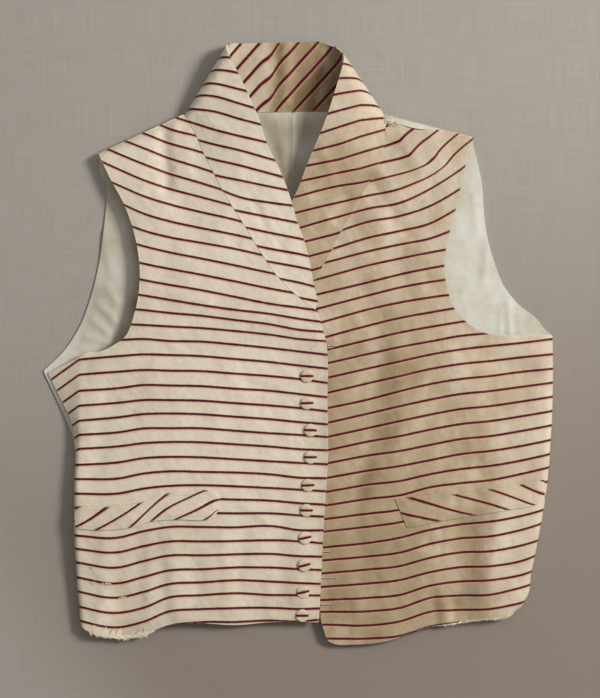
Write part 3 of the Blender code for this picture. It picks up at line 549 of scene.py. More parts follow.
# %% Fold
class Fold:
    """A line in plan round which cloth turns from a lower layer to an upper one."""

    def __init__(self, line, into):
        (x0, y0), (x1, y1) = line
        length = math.hypot(x1 - x0, y1 - y0)
        self.start = np.array([x0, y0])
        self.way = np.array([x1 - x0, y1 - y0]) / length
        self.inward = np.array([-self.way[1], self.way[0]])
        if (np.array(into) - self.start) @ self.inward < 0:
            self.inward = -self.inward

    def split(self, points):
        """Place along the line, and distance in from it."""
        return (points - self.start) @ self.way, (points - self.start) @ self.inward

    def place(self, along, inward):
        return self.start + along[..., None] * self.way + inward[..., None] * self.inward

    def unfold(self, top_points, radius):
        """Flat coordinates of points that lie in the upper layer."""
        along, inward = self.split(top_points)
        angle = np.arccos(share_of(1 - inward / radius))
        arc = radius * (math.pi / 2 + angle) + np.maximum(inward - radius, 0)
        return self.place(along, radius - arc)

    def turn(self, flat, low, high_at):
        """Plan and height of flat points; high_at gives the upper layer's height."""
        along, q = self.split(flat)
        plan = self.place(along, np.abs(q))
        for _ in range(4):
            high = high_at(plan[..., 0], plan[..., 1])
            radius = np.maximum((high - low) / 2, 0.5)
            arc = np.maximum(radius - q, 0)
            angle = np.minimum(arc / radius, math.pi) - math.pi / 2
            inward = radius * (1 - np.cos(angle)) + np.maximum(arc - math.pi * radius, 0)
            plan = np.where((arc > 0)[..., None], self.place(along, inward), flat)
        height = np.where(arc > 0, (high + low) / 2 + radius * np.sin(angle), low)
        return plan, height


# %% [markdown]
# ## A cut piece of cloth
# Each panel starts as a fine flat grid. Faces outside the cut outline are deleted, the ragged rim
# is drawn to the outline, and then every point is lifted to the form. Solidify gives the wall.

# %% Cloth helpers
def nearby(points):
    """A search tree for plan points."""
    tree = KDTree(len(points))
    for number, point in enumerate(points):
        tree.insert((point[0], point[1], 0.0), number)
    tree.balance()
    return tree


def cut_from_grid(border, cell):
    """A flat bmesh, in millimetres, cut to an outline from a fine grid."""
    low, high = border.min(axis=0), border.max(axis=0)
    columns, rows = (int(math.ceil(size / cell)) + 1 for size in high - low)
    bm = bmesh.new()
    bmesh.ops.create_grid(bm, x_segments=columns, y_segments=rows, size=1.0)
    middle = (low + high) / 2
    half = np.array([columns, rows]) * cell / 2
    for vert in bm.verts:
        vert.co = (middle[0] + vert.co.x * half[0], middle[1] + vert.co.y * half[1], 0.0)
    faces = list(bm.faces)
    centres = np.array([tuple(face.calc_center_median())[:2] for face in faces])
    outside = [face for face, is_in in zip(faces, inside(border, centres)) if not is_in]
    bmesh.ops.delete(bm, geom=outside, context="FACES")
    tree = nearby(border)
    rim = [vert for vert in bm.verts if vert.is_boundary]
    for vert in rim:
        x, y, _ = tree.find(vert.co)[0]
        vert.co = (x, y, 0.0)
    bmesh.ops.remove_doubles(bm, verts=rim, dist=0.25 * cell)
    inner = {vert for face in bm.faces for vert in face.verts if not vert.is_boundary}
    near_rim = [
        vert for vert in inner if any(edge.other_vert(vert).is_boundary for edge in vert.link_edges)
    ]
    for _ in range(3):
        bmesh.ops.smooth_vert(bm, verts=near_rim, factor=0.5, use_axis_x=True, use_axis_y=True)
    return bm


def plan_of(bm):
    """Plan coordinates of a bmesh's points."""
    bm.verts.ensure_lookup_table()
    return np.array([(vert.co.x, vert.co.y) for vert in bm.verts])


def place_points(bm, points):
    """Moves a bmesh's points."""
    for vert, point in zip(bm.verts, points):
        vert.co = point


def grid_line(bm, count, axis=0):
    """Number of the line of a new grid that each point lies on, counted along an axis."""
    return np.array([round((vert.co[axis] + 1) / 2 * (count - 1)) for vert in bm.verts])


def grid_down(bm):
    """How far down a new grid each point lies, from 0 to 1."""
    return np.array([(1 - vert.co.y) / 2 for vert in bm.verts])


def cloth_area(bm):
    """Area of one side of the cloth, in square metres."""
    return sum(face.calc_area() for face in bm.faces) * MM * MM


def all_over(count, **values):
    """Values that are the same on every point of a piece."""
    return {key: np.full(count, value) for key, value in values.items()}


def finish_mesh(bm, name, materials, values):
    """Makes an object from a bmesh in millimetres, with named values on its points."""
    bmesh.ops.scale(bm, vec=(MM, MM, MM), verts=bm.verts)
    for edge in bm.edges:
        edge.smooth = not edge.is_boundary
    mesh = bpy.data.meshes.new(name)
    bm.to_mesh(mesh)
    bm.free()
    for key, numbers in values.items():
        layer = mesh.attributes.new(key, "FLOAT", "POINT")
        layer.data.foreach_set("value", np.asarray(numbers, np.float32))
    for finish in materials:
        mesh.materials.append(finish)
    mesh.shade_smooth()
    made = bpy.data.objects.new(name, mesh)
    bpy.context.scene.collection.objects.link(made)
    return made


def give_wall(piece, inner_material=0, wall=WALL):
    """Thickens a shell to the side away from its face."""
    thick = piece.modifiers.new("wall", "SOLIDIFY")
    thick.thickness = wall * MM
    thick.offset = -1.0
    thick.use_even_offset = False
    thick.material_offset = inner_material
    thick.material_offset_rim = 0


def dress(piece, node):
    """Puts a piece in the place of a solid."""
    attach(piece, "root")
    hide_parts(node)


# %% [markdown]
# ## Where a point lies between the stripes
# The charts are carried on past their ends, so that cloth that rolls under keeps its stripes. Then
# each point's place is read between the two charted stripes above and below it.

# %% Stripe place
CHART_REACH = 40.0
KINK_FADE = 165.0  # above it the left front's stripes turn sharply at a dart
KINK_ROOM = 12.0


def carry_on(chart_x, chart):
    """A chart with one more column at each end, straight on from the last two."""
    first, last = chart_x[0] - CHART_REACH, chart_x[-1] + CHART_REACH
    rows = []
    for row in chart:
        before = row[0] - (row[1] - row[0]) / (chart_x[1] - chart_x[0]) * CHART_REACH
        after = row[-1] + (row[-1] - row[-2]) / (chart_x[-1] - chart_x[-2]) * CHART_REACH
        rows.append((before, *row, after))
    return (first, *chart_x, last), rows


def stripe_place(chart_x, chart, x, y):
    """Place of plan points between charted stripes: a whole number is a stripe's middle."""
    has_dart = chart_x[0] > 0  # only the left side's charts start past the middle
    chart_x, chart = carry_on(chart_x, chart)
    down = CHART_TOP - y
    levels = np.stack([smooth(chart_x, row, x) for row in chart], axis=-1)
    straight = np.stack([np.interp(x, chart_x, row) for row in chart], axis=-1)
    sharp = share_of((y - KINK_FADE) / KINK_ROOM)[:, None] * has_dart
    levels = levels * (1 - sharp) + straight * sharp
    row = np.clip((levels < down[:, None]).sum(axis=1) - 1, 0, len(chart) - 2)
    near = np.take_along_axis(levels, row[:, None], axis=1)[:, 0]
    after = np.take_along_axis(levels, row[:, None] + 1, axis=1)[:, 0]
    return row + (down - near) / (after - near)


def chart_both(plan, chart_x, chart):
    """Stripe place and spacing at plan points."""
    place = stripe_place(chart_x, chart, plan[:, 0], plan[:, 1])
    below = stripe_place(chart_x, chart, plan[:, 0], plan[:, 1] - 1.0)
    return place, 1 / np.clip(below - place, 0.04, 0.2)


# %% [markdown]
# ## Stains and painted shade
# Old silk browns where it was damp or creased. Each stroke is soft, with its own width and
# strength, and the material makes its edge ragged.

# %% Stains and painted shade: from x, y to x, y, half-width, strength
# Most strokes are browning of the old silk; those along the hollows of folds and creases, as at x -134 and
# from x 74 to 96, and the strip beside the right front's edge from x 24 to 34 are painted shade.
STAINS_AND_SHADE = [
    (88, 20, 102, -30, 12, 0.34), (102, -24, 92, -96, 14, 0.42), (92, -80, 76, -140, 13, 0.34),
    (64, -150, 72, -292, 11, 0.26), (180, -160, 182, -262, 13, 0.30), (40, -200, 44, -292, 10, 0.16),
    (150, -20, 158, -100, 14, 0.12), (106, -190, 96, -290, 12, 0.14),
    (72, -128, 66, -150, 7, 0.45), (64, -138, 70, -152, 6, 0.35), (74, -180, 78, -215, 8, 0.34),
    (98, -190, 84, -250, 12, 0.24), (58, -8, 66, -20, 6, 0.42), (112, -10, 118, -46, 6, 0.22),
    (160, -64, 170, -112, 9, 0.24), (170, -100, 178, -122, 8, 0.32), (182, -112, 188, -138, 5, 0.28),
    (174, -180, 182, -232, 8, 0.34), (186, -152, 192, -210, 4, 0.34), (172, -225, 166, -262, 11, 0.30),
    (146, -150, 142, -200, 6, 0.24), (152, -205, 148, -262, 7, 0.24), (140, -262, 202, -252, 8, 0.42),
    (136, -252, 142, -284, 5, 0.42), (158, -258, 162, -284, 4, 0.35), (46, -190, 44, -262, 12, 0.28),
    (84, -262, 78, -292, 7, 0.26), (34, -252, 74, -292, 9, 0.32), (26, -236, 44, -262, 5, 0.3),
    (74, 168, 96, 130, 6, 0.42), (60, 168, 92, 164, 6, 0.34), (104, 100, 132, 70, 8, 0.20),
    (22, 186, 40, 150, 6, 0.22), (44, 150, 70, 110, 7, 0.26), (70, 60, 76, 26, 7, 0.26),
    (56, 70, 96, 20, 12, 0.25), (120, 90, 140, 30, 12, 0.25), (110, 180, 122, 196, 10, 0.2),
    (46, 110, 70, 80, 8, 0.2), (-60, 20, 10, -10, 20, 0.10), (-160, -200, -100, -180, 18, 0.08),
    (24, -40, 26, -250, 5, 0.2), (150, 160, 120, 190, 12, 0.15), (225, -20, 250, -120, 14, 0.1),
    (-190, -285, -60, -272, 6, 0.12), (32, 0, 34, -290, 5, 0.35), (-206, -20, -214, -90, 6, 0.15),
    (-134, 215, -131, 150, 8, 0.12), (-15, 20, 14, 0, 10, 0.15), (-20, -50, 0, -250, 12, 0.08),
]


def stains(x, y, table=STAINS_AND_SHADE, evened=0.0):
    """How brown the cloth is at plan points, from browning and painted shade, from 0 to 1; evened tames the
    strongest spots.
    """
    total = np.zeros_like(x)
    for x0, y0, x1, y1, width, strength in table:
        total += strength * np.exp(-((along_line(x, y, x0, y0, x1, y1) / width) ** 2))
    total = share_of(total)
    return total / (1 + evened * total)


def rim_distance(border, plan):
    """Distance of plan points from the cut edge, in millimetres."""
    tree = nearby(border)
    return np.array([tree.find((x, y, 0.0))[2] for x, y in plan])


print(len(STAINS_AND_SHADE), "stains")

# %% [markdown]
# ## Shader sums in plain Python
# A stripe is easiest to draw as a sum: how far is this point from the nearest whole number? One
# small class lets Python's own operators add the Math nodes, so the sums stay readable.

# %% Shader helpers
class Value:
    """A number that a node gives, for use with Python's operators."""

    def __init__(self, finish, socket):
        self.finish = finish
        self.socket = socket

    def maths(self, operation, *terms):
        sockets = dict(enumerate(terms))
        return self.finish.number("ShaderNodeMath", {"operation": operation}, sockets)

    def __add__(self, other):
        return self.maths("ADD", self, other)

    def __sub__(self, other):
        return self.maths("SUBTRACT", self, other)

    def __rsub__(self, other):
        return self.maths("SUBTRACT", other, self)

    def __mul__(self, other):
        return self.maths("MULTIPLY", self, other)

    def __truediv__(self, other):
        return self.maths("DIVIDE", self, other)

    __radd__ = __add__
    __rmul__ = __mul__

    def absolute(self):
        return self.maths("ABSOLUTE", self)

    def sine(self):
        return self.maths("SINE", self)

    def from_whole(self):
        """How far the number is from the nearest whole one, from -0.5 to 0.5."""
        return self - self.maths("ROUND", self)

    def rise(self, low, high):
        """A soft step from 0 at low to 1 at high."""
        return self.finish.number(
            "ShaderNodeMapRange", {"interpolation_type": "SMOOTHSTEP"},
            {"Value": self, "From Min": low, "From Max": high},
        )


class Finish:
    """A material whose nodes are added one at a time."""

    def __init__(self, name, constants):
        self.material = bpy.data.materials.new(name)
        self.material.use_nodes = True
        self.tree = self.material.node_tree
        self.shader = self.tree.nodes["Principled BSDF"]
        for key, value in constants.items():
            self.shader.inputs[key].default_value = value

    def node(self, kind, settings, sockets):
        """Adds a node: its settings first, then its sockets, by name or by number."""
        made = self.tree.nodes.new(kind)
        for key, value in settings.items():
            if key == "stops":
                for stop, (place, colour) in zip(made.color_ramp.elements, value):
                    stop.position = place
                    stop.color = colour
            else:
                setattr(made, key, value)
        for key, value in sockets.items():
            if isinstance(value, Value):
                value = value.socket
            if isinstance(value, bpy.types.NodeSocket):
                self.tree.links.new(value, made.inputs[key])
            else:
                made.inputs[key].default_value = value
        return made

    def number(self, kind, settings, sockets, output=0):
        return Value(self, self.node(kind, settings, sockets).outputs[output])

    def attribute(self, name):
        return self.number("ShaderNodeAttribute", {"attribute_name": name}, {}, "Fac")

    def coordinates(self):
        return self.node("ShaderNodeTexCoord", {}, {}).outputs["Object"]

    def plan(self, at):
        """x and y in millimetres."""
        parts = self.node("ShaderNodeSeparateXYZ", {}, {0: at}).outputs
        return [Value(self, socket) * (1 / MM) for socket in parts[:2]]

    def noise(self, vector, scale, detail=2.0, roughness=0.5):
        """Soft noise from 0 to 1, scale in blots a metre."""
        sockets = {"Vector": vector, "Scale": scale, "Detail": detail, "Roughness": roughness}
        return self.number("ShaderNodeTexNoise", {}, sockets)

    def vector(self, x, y, z=0.0):
        return self.node("ShaderNodeCombineXYZ", {}, {0: x, 1: y, 2: z}).outputs[0]

    def mix(self, factor, first, second):
        """A colour between two."""
        sockets = {0: factor, 6: first, 7: second}
        return self.node("ShaderNodeMix", {"data_type": "RGBA"}, sockets).outputs[2]

    def bump(self, height, distance, strength, under=None):
        sockets = {"Height": height, "Distance": distance, "Strength": strength}
        if under is not None:
            sockets["Normal"] = under
        return self.node("ShaderNodeBump", {}, sockets).outputs[0]

    def feed(self, **links):
        for key, value in links.items():
            socket = value.socket if isinstance(value, Value) else value
            self.tree.links.new(socket, self.shader.inputs[key.replace("_", " ")])


# %% [markdown]
# ## Striped silk
# A cream plain-woven silk with a narrow satin stripe in maroon. On the hem side of each stripe the
# dye has bled to a soft pink. The stripe comes from the charted attribute, the threads follow it,
# and the stained patches, some painted shade, the yellowing and the rubbed edges are attributes and noise
# on top.

# %% Silk
CREAM = (0.82, 0.74, 0.605, 1.0)
YELLOWED = (0.44, 0.335, 0.20, 1.0)
STAIN_AND_SHADE_BROWN = (0.25, 0.175, 0.08, 1.0)
MAROON = (0.048, 0.0020, 0.0030, 1.0)
FADED_MAROON = (0.150, 0.012, 0.014, 1.0)
BLED_PINK = (0.68, 0.31, 0.27, 1.0)
RUBBED = (0.76, 0.70, 0.57, 1.0)
BLUSHED = (0.68, 0.50, 0.39, 1.0)
OLIVE = (0.46, 0.42, 0.26, 1.0)
STRIPE_HALF = 1.12
BLEED = 3.5  # how far the dye has run towards the hem
BLEED_STRENGTH = 0.62
HALO = 0.35  # how strongly it has run on both sides
STITCHED_IN = 3.4  # how far the row of edge stitches lies from the edge
SLANT = (0.80, 0.60)  # the way across the long wrinkles
THREADS_A_STRIPE = 26
WARP_PITCH = 0.55


def striped_silk(name, side=""):
    finish = Finish(name, {
        "Metallic": 0.0, "Specular IOR Level": 0.22, "Sheen Weight": 0.08, "Sheen Roughness": 0.4,
    })
    at = finish.coordinates()
    x, y = finish.plan(at)
    stripe = finish.attribute(side + "stripe")
    spacing = finish.attribute(side + "stripe_spacing")
    wobble = finish.noise(at, 420, 2.0) - 0.5
    off = stripe.from_whole() * spacing + wobble * 0.55
    core = 1 - off.absolute().rise(STRIPE_HALF - 0.25, STRIPE_HALF + 0.35)
    halo = (1 - off.absolute().rise(0.9, 2.4)) * HALO
    bleed = (1 - off.rise(STRIPE_HALF, BLEED)) * off.rise(-0.6, 0.6) + halo
    # On the collar's lining side this tone carries painted shade as well as yellowing.
    tone = finish.attribute(side + "tone")
    cloud = finish.noise(at, 14, 4.0, 0.6)
    streak = finish.noise(finish.vector(x * 0.035, stripe * 9.0), 1.0, 3.0, 0.6)
    slub = finish.noise(finish.vector(x * 0.25, stripe * 40.0), 1.0, 2.0)
    patch = finish.noise(finish.vector(x * 0.030, y * 0.013), 1.0, 4.0, 0.62) - 0.5
    yellow = (tone + (cloud - 0.5) * 0.6 + (streak - 0.5) * 0.35 + patch * tone * 2.4).rise(-0.05, 1.05)
    ground = finish.mix(yellow, CREAM, YELLOWED)
    ground = finish.mix((slub - 0.35) * 0.22, ground, RUBBED)
    blotch = finish.noise(at, 85, 3.0, 0.55)
    ground = finish.mix(blotch.rise(0.48, 0.72) * 0.30, ground, BLUSHED)
    ground = finish.mix((1 - blotch).rise(0.50, 0.74) * 0.26, ground, OLIVE)
    spots = finish.noise(at, 95, 4.0, 0.65).rise(0.60, 0.74) * 0.16
    ragged = finish.noise(finish.vector(x * 0.055, y * 0.026), 1.0, 5.0, 0.62).rise(0.30, 0.68)
    # Brown strokes: browning of the old silk, and painted shade in fold hollows, beside the right front's
    # edge and on the collar's lining side.
    stain = finish.attribute(side + "stain") * (0.50 + ragged * 0.80)
    ground = finish.mix(stain + spots, ground, STAIN_AND_SHADE_BROWN)
    ground = finish.mix(bleed * BLEED_STRENGTH, ground, BLED_PINK)
    faded = finish.noise(finish.vector(x * 0.12, stripe * 14.0), 1.0, 3.0).rise(0.35, 0.8)
    dyed = finish.mix(faded, MAROON, FADED_MAROON)
    edge = finish.attribute("edge")
    rub = (1 - edge.rise(0.2, 1.7)) * finish.noise(at, 260, 3.0).rise(0.42, 0.62)
    seam_line = (1 - (edge - STITCHED_IN).absolute().rise(0.15, 0.6)) * 0.16
    colour = finish.mix(core, ground, dyed)
    colour = finish.mix(rub * 0.22, colour, RUBBED)
    colour = finish.mix(seam_line, colour, STAIN_AND_SHADE_BROWN)
    weft = (stripe * (2 * math.pi * THREADS_A_STRIPE)).sine()
    warp = (x * (2 * math.pi / WARP_PITCH)).sine()
    threads = weft * 0.6 + warp * 0.4 + slub * 1.2 + core * 1.5
    crumple = finish.noise(at, 60, 4.0, 0.55)
    across = x * SLANT[0] + y * SLANT[1]
    along = y * SLANT[0] - x * SLANT[1]
    dragged = finish.noise(finish.vector(across * 0.085, along * 0.026), 1.0, 3.0, 0.55)
    soft = finish.bump(crumple + dragged * 1.1, 0.0013, 0.6)
    fine = finish.bump(threads, 0.00008, 0.5, soft)
    rough = 0.50 + slub * 0.12 + stain * 0.15 - core * 0.08
    finish.feed(Base_Color=colour, Roughness=rough, Normal=fine)
    return finish.material


silk = striped_silk("striped silk")
inner_silk = striped_silk("striped silk, inner collar", "inner_")
print("silk", len(silk.node_tree.nodes), "nodes")

# %% [markdown]
# ## White cotton
# The back is plain cotton, bleached and washed, cool white with faint grey-yellow shadows where
# it has creased. It takes light flatly, so it is rougher than the silk and has a visible weave.

# %% Cotton
WHITE = (0.74, 0.735, 0.66, 1.0)
WASHED = (0.57, 0.53, 0.40, 1.0)
FLUFF = (0.80, 0.72, 0.57, 1.0)
COTTON_PITCH = 0.7


def plain_cotton(name):
    finish = Finish(name, {
        "Metallic": 0.0, "Specular IOR Level": 0.25, "Sheen Weight": 0.15, "Sheen Roughness": 0.5,
    })
    at = finish.coordinates()
    x, y = finish.plan(at)
    cloud = finish.noise(at, 22, 4.0, 0.6)
    fleck = finish.noise(at, 170, 3.0, 0.6)
    ground = finish.mix(cloud.rise(0.35, 0.75) * 0.8, WHITE, WASHED)
    # Brown strokes: mostly painted shade on the back, browning with some painted shade on the fronts'
    # lining side.
    stain_and_shade_amount = finish.attribute("stain") * (0.6 + cloud * 0.8)
    ground = finish.mix(fleck.rise(0.62, 0.75) * 0.12 + stain_and_shade_amount, ground, STAIN_AND_SHADE_BROWN)
    weave = (x * (2 * math.pi / COTTON_PITCH)).sine() + (y * (2 * math.pi / COTTON_PITCH)).sine()
    soft = finish.bump(finish.noise(at, 75, 4.0, 0.6), 0.0014, 0.6)
    fine = finish.bump(weave + fleck, 0.00009, 0.5, soft)
    finish.feed(Base_Color=ground, Roughness=0.78 + fleck * 0.1, Normal=fine)
    return finish.material


def cotton_fluff(name):
    """Loose fibres: the same cotton, plain and unsoiled, with only its flecks."""
    finish = Finish(name, {
        "Metallic": 0.0, "Specular IOR Level": 0.2, "Sheen Weight": 0.3, "Sheen Roughness": 0.5,
    })
    at = finish.coordinates()
    ground = finish.mix(finish.noise(at, 240, 3.0, 0.6).rise(0.4, 0.75) * 0.6, FLUFF, WASHED)
    finish.feed(Base_Color=ground, Roughness=0.8 + finish.noise(at, 90) * 0.1)
    return finish.material


cotton = plain_cotton("plain cotton")
fluff = cotton_fluff("cotton fluff")
print("cotton", len(cotton.node_tree.nodes), "nodes")

# %% [markdown]
# ## Collar
# The tall collar is one long shaped strip. It lies on both fronts, turns under at two soft folds,
# and its middle lies inside out behind the neck, where its lining side shows. It could be draped
# by simulation, but a grid that goes section by section round the folds keeps its cut length.

# %% Collar shape
COLLAR_ACROSS = 30
COLLAR_STEP = 3.0  # how far apart the sections are
COLLAR_TURN_STEP = 1.6  # and where the collar turns under
COLLAR_TURN_ROOM = (12.0, 62.0)  # how far that reaches, on top and below
COLLAR_FOLDS = (Fold(COLLAR_RIGHT_FOLD, NECK_MIDDLE), Fold(COLLAR_LEFT_FOLD, NECK_MIDDLE))


def collar_rows():
    """Flat seam and free edge of the collar, from its right end to its left."""
    flat = []
    for table, is_right, fold in (
        (COLLAR_RIGHT, True, COLLAR_FOLDS[0]),
        (COLLAR_BACK, None, None),
        (COLLAR_LEFT, False, COLLAR_FOLDS[1]),
    ):
        table = np.array(table, float)
        ends = []
        for across, points in ((0.0, table[:, :2]), (1.0, table[:, 2:])):
            if fold:
                high = collar_high(points[:, 0], points[:, 1], across, is_right)
                points = fold.unfold(points, (high - collar_low(across)) / 2)
            ends.append(points)
        flat.append(np.concatenate(ends, axis=1))
    flat = np.concatenate(flat)
    middle = (flat[:, :2] + flat[:, 2:]) / 2
    length = np.concatenate([[0.0], np.cumsum(np.hypot(*np.diff(middle, axis=0).T))])
    right_turn = length[len(COLLAR_RIGHT) - 1]
    left_turn = length[len(COLLAR_RIGHT) + len(COLLAR_BACK)]
    before, after = COLLAR_TURN_ROOM
    stops = [
        0.0, right_turn - before, right_turn + after, left_turn - after, left_turn + before, length[-1],
    ]
    sizes = [COLLAR_STEP, COLLAR_TURN_STEP, COLLAR_STEP, COLLAR_TURN_STEP, COLLAR_STEP]
    parts = []
    for start, stop, size in zip(stops, stops[1:], sizes):
        parts.append(np.linspace(start, stop, max(2, round((stop - start) / size)) + 1)[:-1])
    at = np.concatenate(parts + [[length[-1]]])
    return np.stack([smooth(length, flat[:, i], at) for i in range(4)], axis=1), at


def collar_shape():
    """The collar's outer face as a grid, its flat pattern, and where its outer stripes are read."""
    rows, at = collar_rows()
    across = np.linspace(0, 1, COLLAR_ACROSS + 1)
    flat = rows[:, None, :2] * (1 - across[None, :, None]) + rows[:, None, 2:] * across[None, :, None]
    across = np.broadcast_to(across, flat.shape[:2])
    low = collar_low(across)
    middle = at < at[-1] / 2
    grid = np.zeros(flat.shape[:2] + (3,))
    chart_plan = np.zeros(flat.shape[:2] + (2,))
    for is_right, fold, part in ((True, COLLAR_FOLDS[0], middle), (False, COLLAR_FOLDS[1], ~middle)):
        def high_at(x, y):
            return collar_high(x, y, across[part], is_right)

        plan, height = fold.turn(flat[part], low[part], high_at)
        grid[part] = np.concatenate([plan, height[..., None]], axis=-1)
        along, q = fold.split(flat[part])
        radius = (high_at(plan[..., 0], plan[..., 1]) - low[part]) / 2
        chart_plan[part] = fold.place(along, -q - (math.pi - 2) * radius)
        on_top = -q > (math.pi - 1) * radius
        chart_plan[part] = np.where(on_top[..., None], plan, chart_plan[part])
    return grid, flat, chart_plan, at


grid, flat, chart_plan, along_collar = collar_shape()
print("collar sections", grid.shape[0], "across", grid.shape[1])

# %% [markdown]
# ## The collar's piece
# Its outer face follows the charts of both sides, which blend at the back of the neck. The inner
# face has slanted stripes of its own, so the inside of the wall gets a second material.

# %% Collar piece
INNER_LEAN = 0.91
INNER_START = 331.0
INNER_SPACING = 19.15  # of the slanted stripes, measured along x
INNER_REAL_SPACING = 11.5
INNER_BEND = -3.0
INNER_BEND_X = -28.0
INNER_BEND_REACH = 6.0
MIDDLE_BLEND = 60.0
COLLAR_WIDTH = 70.0
COLLAR_IS_UP = 8  # higher than this the collar lies on the fronts
SEAM_PROUD = 0.45
SEAM_PROUD_REACH = 3.5
CREASES_COLLAR = [
    (24, 190, 40, 160, 4, 0.9), (34, 176, 50, 140, 4, -0.9), (44, 186, 60, 160, 4, 0.7),
    (20, 150, 38, 122, 4, -0.8), (28, 130, 44, 108, 4, 0.8), (14, 118, 30, 96, 4, -0.6),
    (48, 200, 76, 190, 5, 0.6), (30, 236, 60, 216, 6, 0.6), (-50, 150, -34, 118, 5, -0.7),
    (-38, 142, -22, 112, 4, 0.6), (-60, 170, -48, 140, 5, 0.5), (-24, 108, -10, 84, 4, -0.6),
    (-90, 222, -66, 210, 5, 0.6), (-80, 250, -60, 236, 5, 0.5), (-30, 130, -14, 104, 3, -0.5),
]
# Strokes of painted shade on the collar's lining side behind the neck, where the standing left half of the
# collar shades it: from x, y to x, y, half-width, strength
INNER_PAINTED_SHADE = [
    (-18, 300, -24, 232, 7, 0.9), (23, 300, 5, 232, 15, 0.95), (35, 300, 28, 232, 13, 0.95),
    (-6, 246, -6, 232, 12, 0.2), (-50, 300, -40, 260, 6, 0.05),
]
# The lining side at the back of the neck bulges in upright waves
INNER_WAVES = [
    (-12, 302, -13, 236, 6, 2.0), (-21, 300, -24, 232, 3.5, -0.7), (-34, 300, -34, 236, 8, 1.5),
    (8, 300, 6, 240, 8, 1.2),
]


def make_collar():
    sections, across = grid.shape[:2]
    bm = bmesh.new()
    bmesh.ops.create_grid(bm, x_segments=across - 1, y_segments=sections - 1, size=1.0)
    points = grid.copy()
    high = share_of((points[..., 2] - COLLAR_IS_UP) / 4)
    points[..., 2] += high * crumple(points[..., 0], points[..., 1])
    points[..., 2] += high * folds(CREASES_COLLAR, points[..., 0], points[..., 1])
    low = share_of((6.5 - points[..., 2]) / 2) * share_of((points[..., 1] - 234) / 12)
    points[..., 2] += low * np.maximum(folds(INNER_WAVES, points[..., 0], points[..., 1]), 0)
    from_seam = np.linspace(0, 1, across) * COLLAR_WIDTH
    is_proud = high * (np.arange(sections) < sections / 2)[:, None]
    points[..., 2] += is_proud * SEAM_PROUD * np.exp(-((from_seam / SEAM_PROUD_REACH) ** 2))
    column = grid_line(bm, across)
    section = grid_line(bm, sections, axis=1)
    place_points(bm, points[section, column])
    cut = flat[section, column]
    plan = chart_plan[section, column]
    share = share_of((along_collar[section] - along_collar[-1] / 2) / MIDDLE_BLEND + 0.5)
    right_place, right_gap = chart_both(plan, COLLAR_RIGHT_CHART_X, COLLAR_RIGHT_CHART)
    left_place, left_gap = chart_both(plan, COLLAR_LEFT_CHART_X, COLLAR_LEFT_CHART)
    stripe = right_place * (1 - share) + left_place * share
    gap = right_gap * (1 - share) + left_gap * share
    across_share = column / (across - 1)
    edge = np.minimum(across_share, 1 - across_share) * COLLAR_WIDTH
    bend = INNER_BEND * np.exp(-(((cut[:, 0] - INNER_BEND_X) / INNER_BEND_REACH) ** 2))
    inner = (cut[:, 0] - INNER_LEAN * (cut[:, 1] - bend) + INNER_START) / INNER_SPACING
    area = cloth_area(bm)
    piece = finish_mesh(bm, "collar_of_striped_silk", [silk, inner_silk], {
        "stripe": stripe,
        "stripe_spacing": gap,
        "inner_stripe": inner,
        "inner_stripe_spacing": np.full(len(inner), INNER_REAL_SPACING),
        "stain": stains(plan[:, 0], plan[:, 1]) * 0.8,
        "tone": share * (0.42 + 0.46 * share_of((232 - plan[:, 1]) / 46)),
        # Painted shade on the lining side: yellower towards +x here, with the strokes on the next line,
        # where the standing left half of the collar shades it.
        "inner_tone": np.clip(1.15 + cut[:, 0] / 50, 0.35, 1.0),
        "inner_stain": stains(cut[:, 0], cut[:, 1], INNER_PAINTED_SHADE),
        "edge": edge,
    })
    give_wall(piece, inner_material=1)
    dress(piece, "collar")
    print("collar", round(area, 4), "square metres")


make_collar()

# %% [markdown]
# ## Fronts
# Each front is one cut piece of striped silk with its lining. The side seam and the shoulder roll
# down to the board, the armhole's edge stands clear of it, and the hem is frayed.

# %% Front outlines
SEAM_SIDE = 0.25  # share of the seam gap by which a front keeps clear of the collar


def seam_beside(line, away):
    """A seam line in plan, moved half a gap away from its neighbour."""
    way = np.gradient(line, axis=0)
    way /= np.linalg.norm(way, axis=1)[:, None]
    return line + away * SEAM_GAP * SEAM_SIDE * np.stack([-way[:, 1], way[:, 0]], axis=1)


seam = grid[:, 0]
turn_rows = np.flatnonzero(seam[:, 2] < COLLAR_IS_UP)
right_seam = seam_beside(seam[:turn_rows[0], :2], 1)
left_seam = seam_beside(seam[turn_rows[-1] + 1:][::-1, :2], -1)
right_edges = [
    curve(RIGHT_ARMHOLE[:-1]), curve(RIGHT_ARMHOLE[-2:]), curve(RIGHT_SIDE_EDGE), curve(RIGHT_SIDE_BELOW),
    curve(RIGHT_HEM), curve(RIGHT_FRONT_EDGE + [tuple(right_seam[0])]), right_seam,
    curve([tuple(right_seam[-1]), RIGHT_ARMHOLE[0]]),
]
left_edges = [
    curve([tuple(left_seam[-1])] + LEFT_SHOULDER_SEAM), curve(LEFT_ARMHOLE), curve(LEFT_SIDE_EDGE),
    curve(LEFT_HEM), curve(LEFT_FRONT_EDGE + [tuple(left_seam[0])]), left_seam,
]
print("front outlines", len(join(right_edges)), len(join(left_edges)), "points")

# %% Front pieces
# The right front's flat side facet
FACET_X = -219.0
FACET_Y = -108.0
FACET_LEAN = 0.7
# The left front's dart: its ends, the chart's column beside it, and how far it pulls the stripes
DART_TOP = (93.0, 216.0)
DART_END = (118.0, 177.0)
DART_COLUMN = 102.0
DART_REACH = 30.0
DART_FADE = 160.0
# Where the faces crowd together, at the side and the shoulder
ROLL_TOP_Y = 8
CROWD_REACH = 18.0
CROWD_POWER = 1.7
SHOULDER_REACH = 7.0
SHOULDER_CROWD_Y = 170


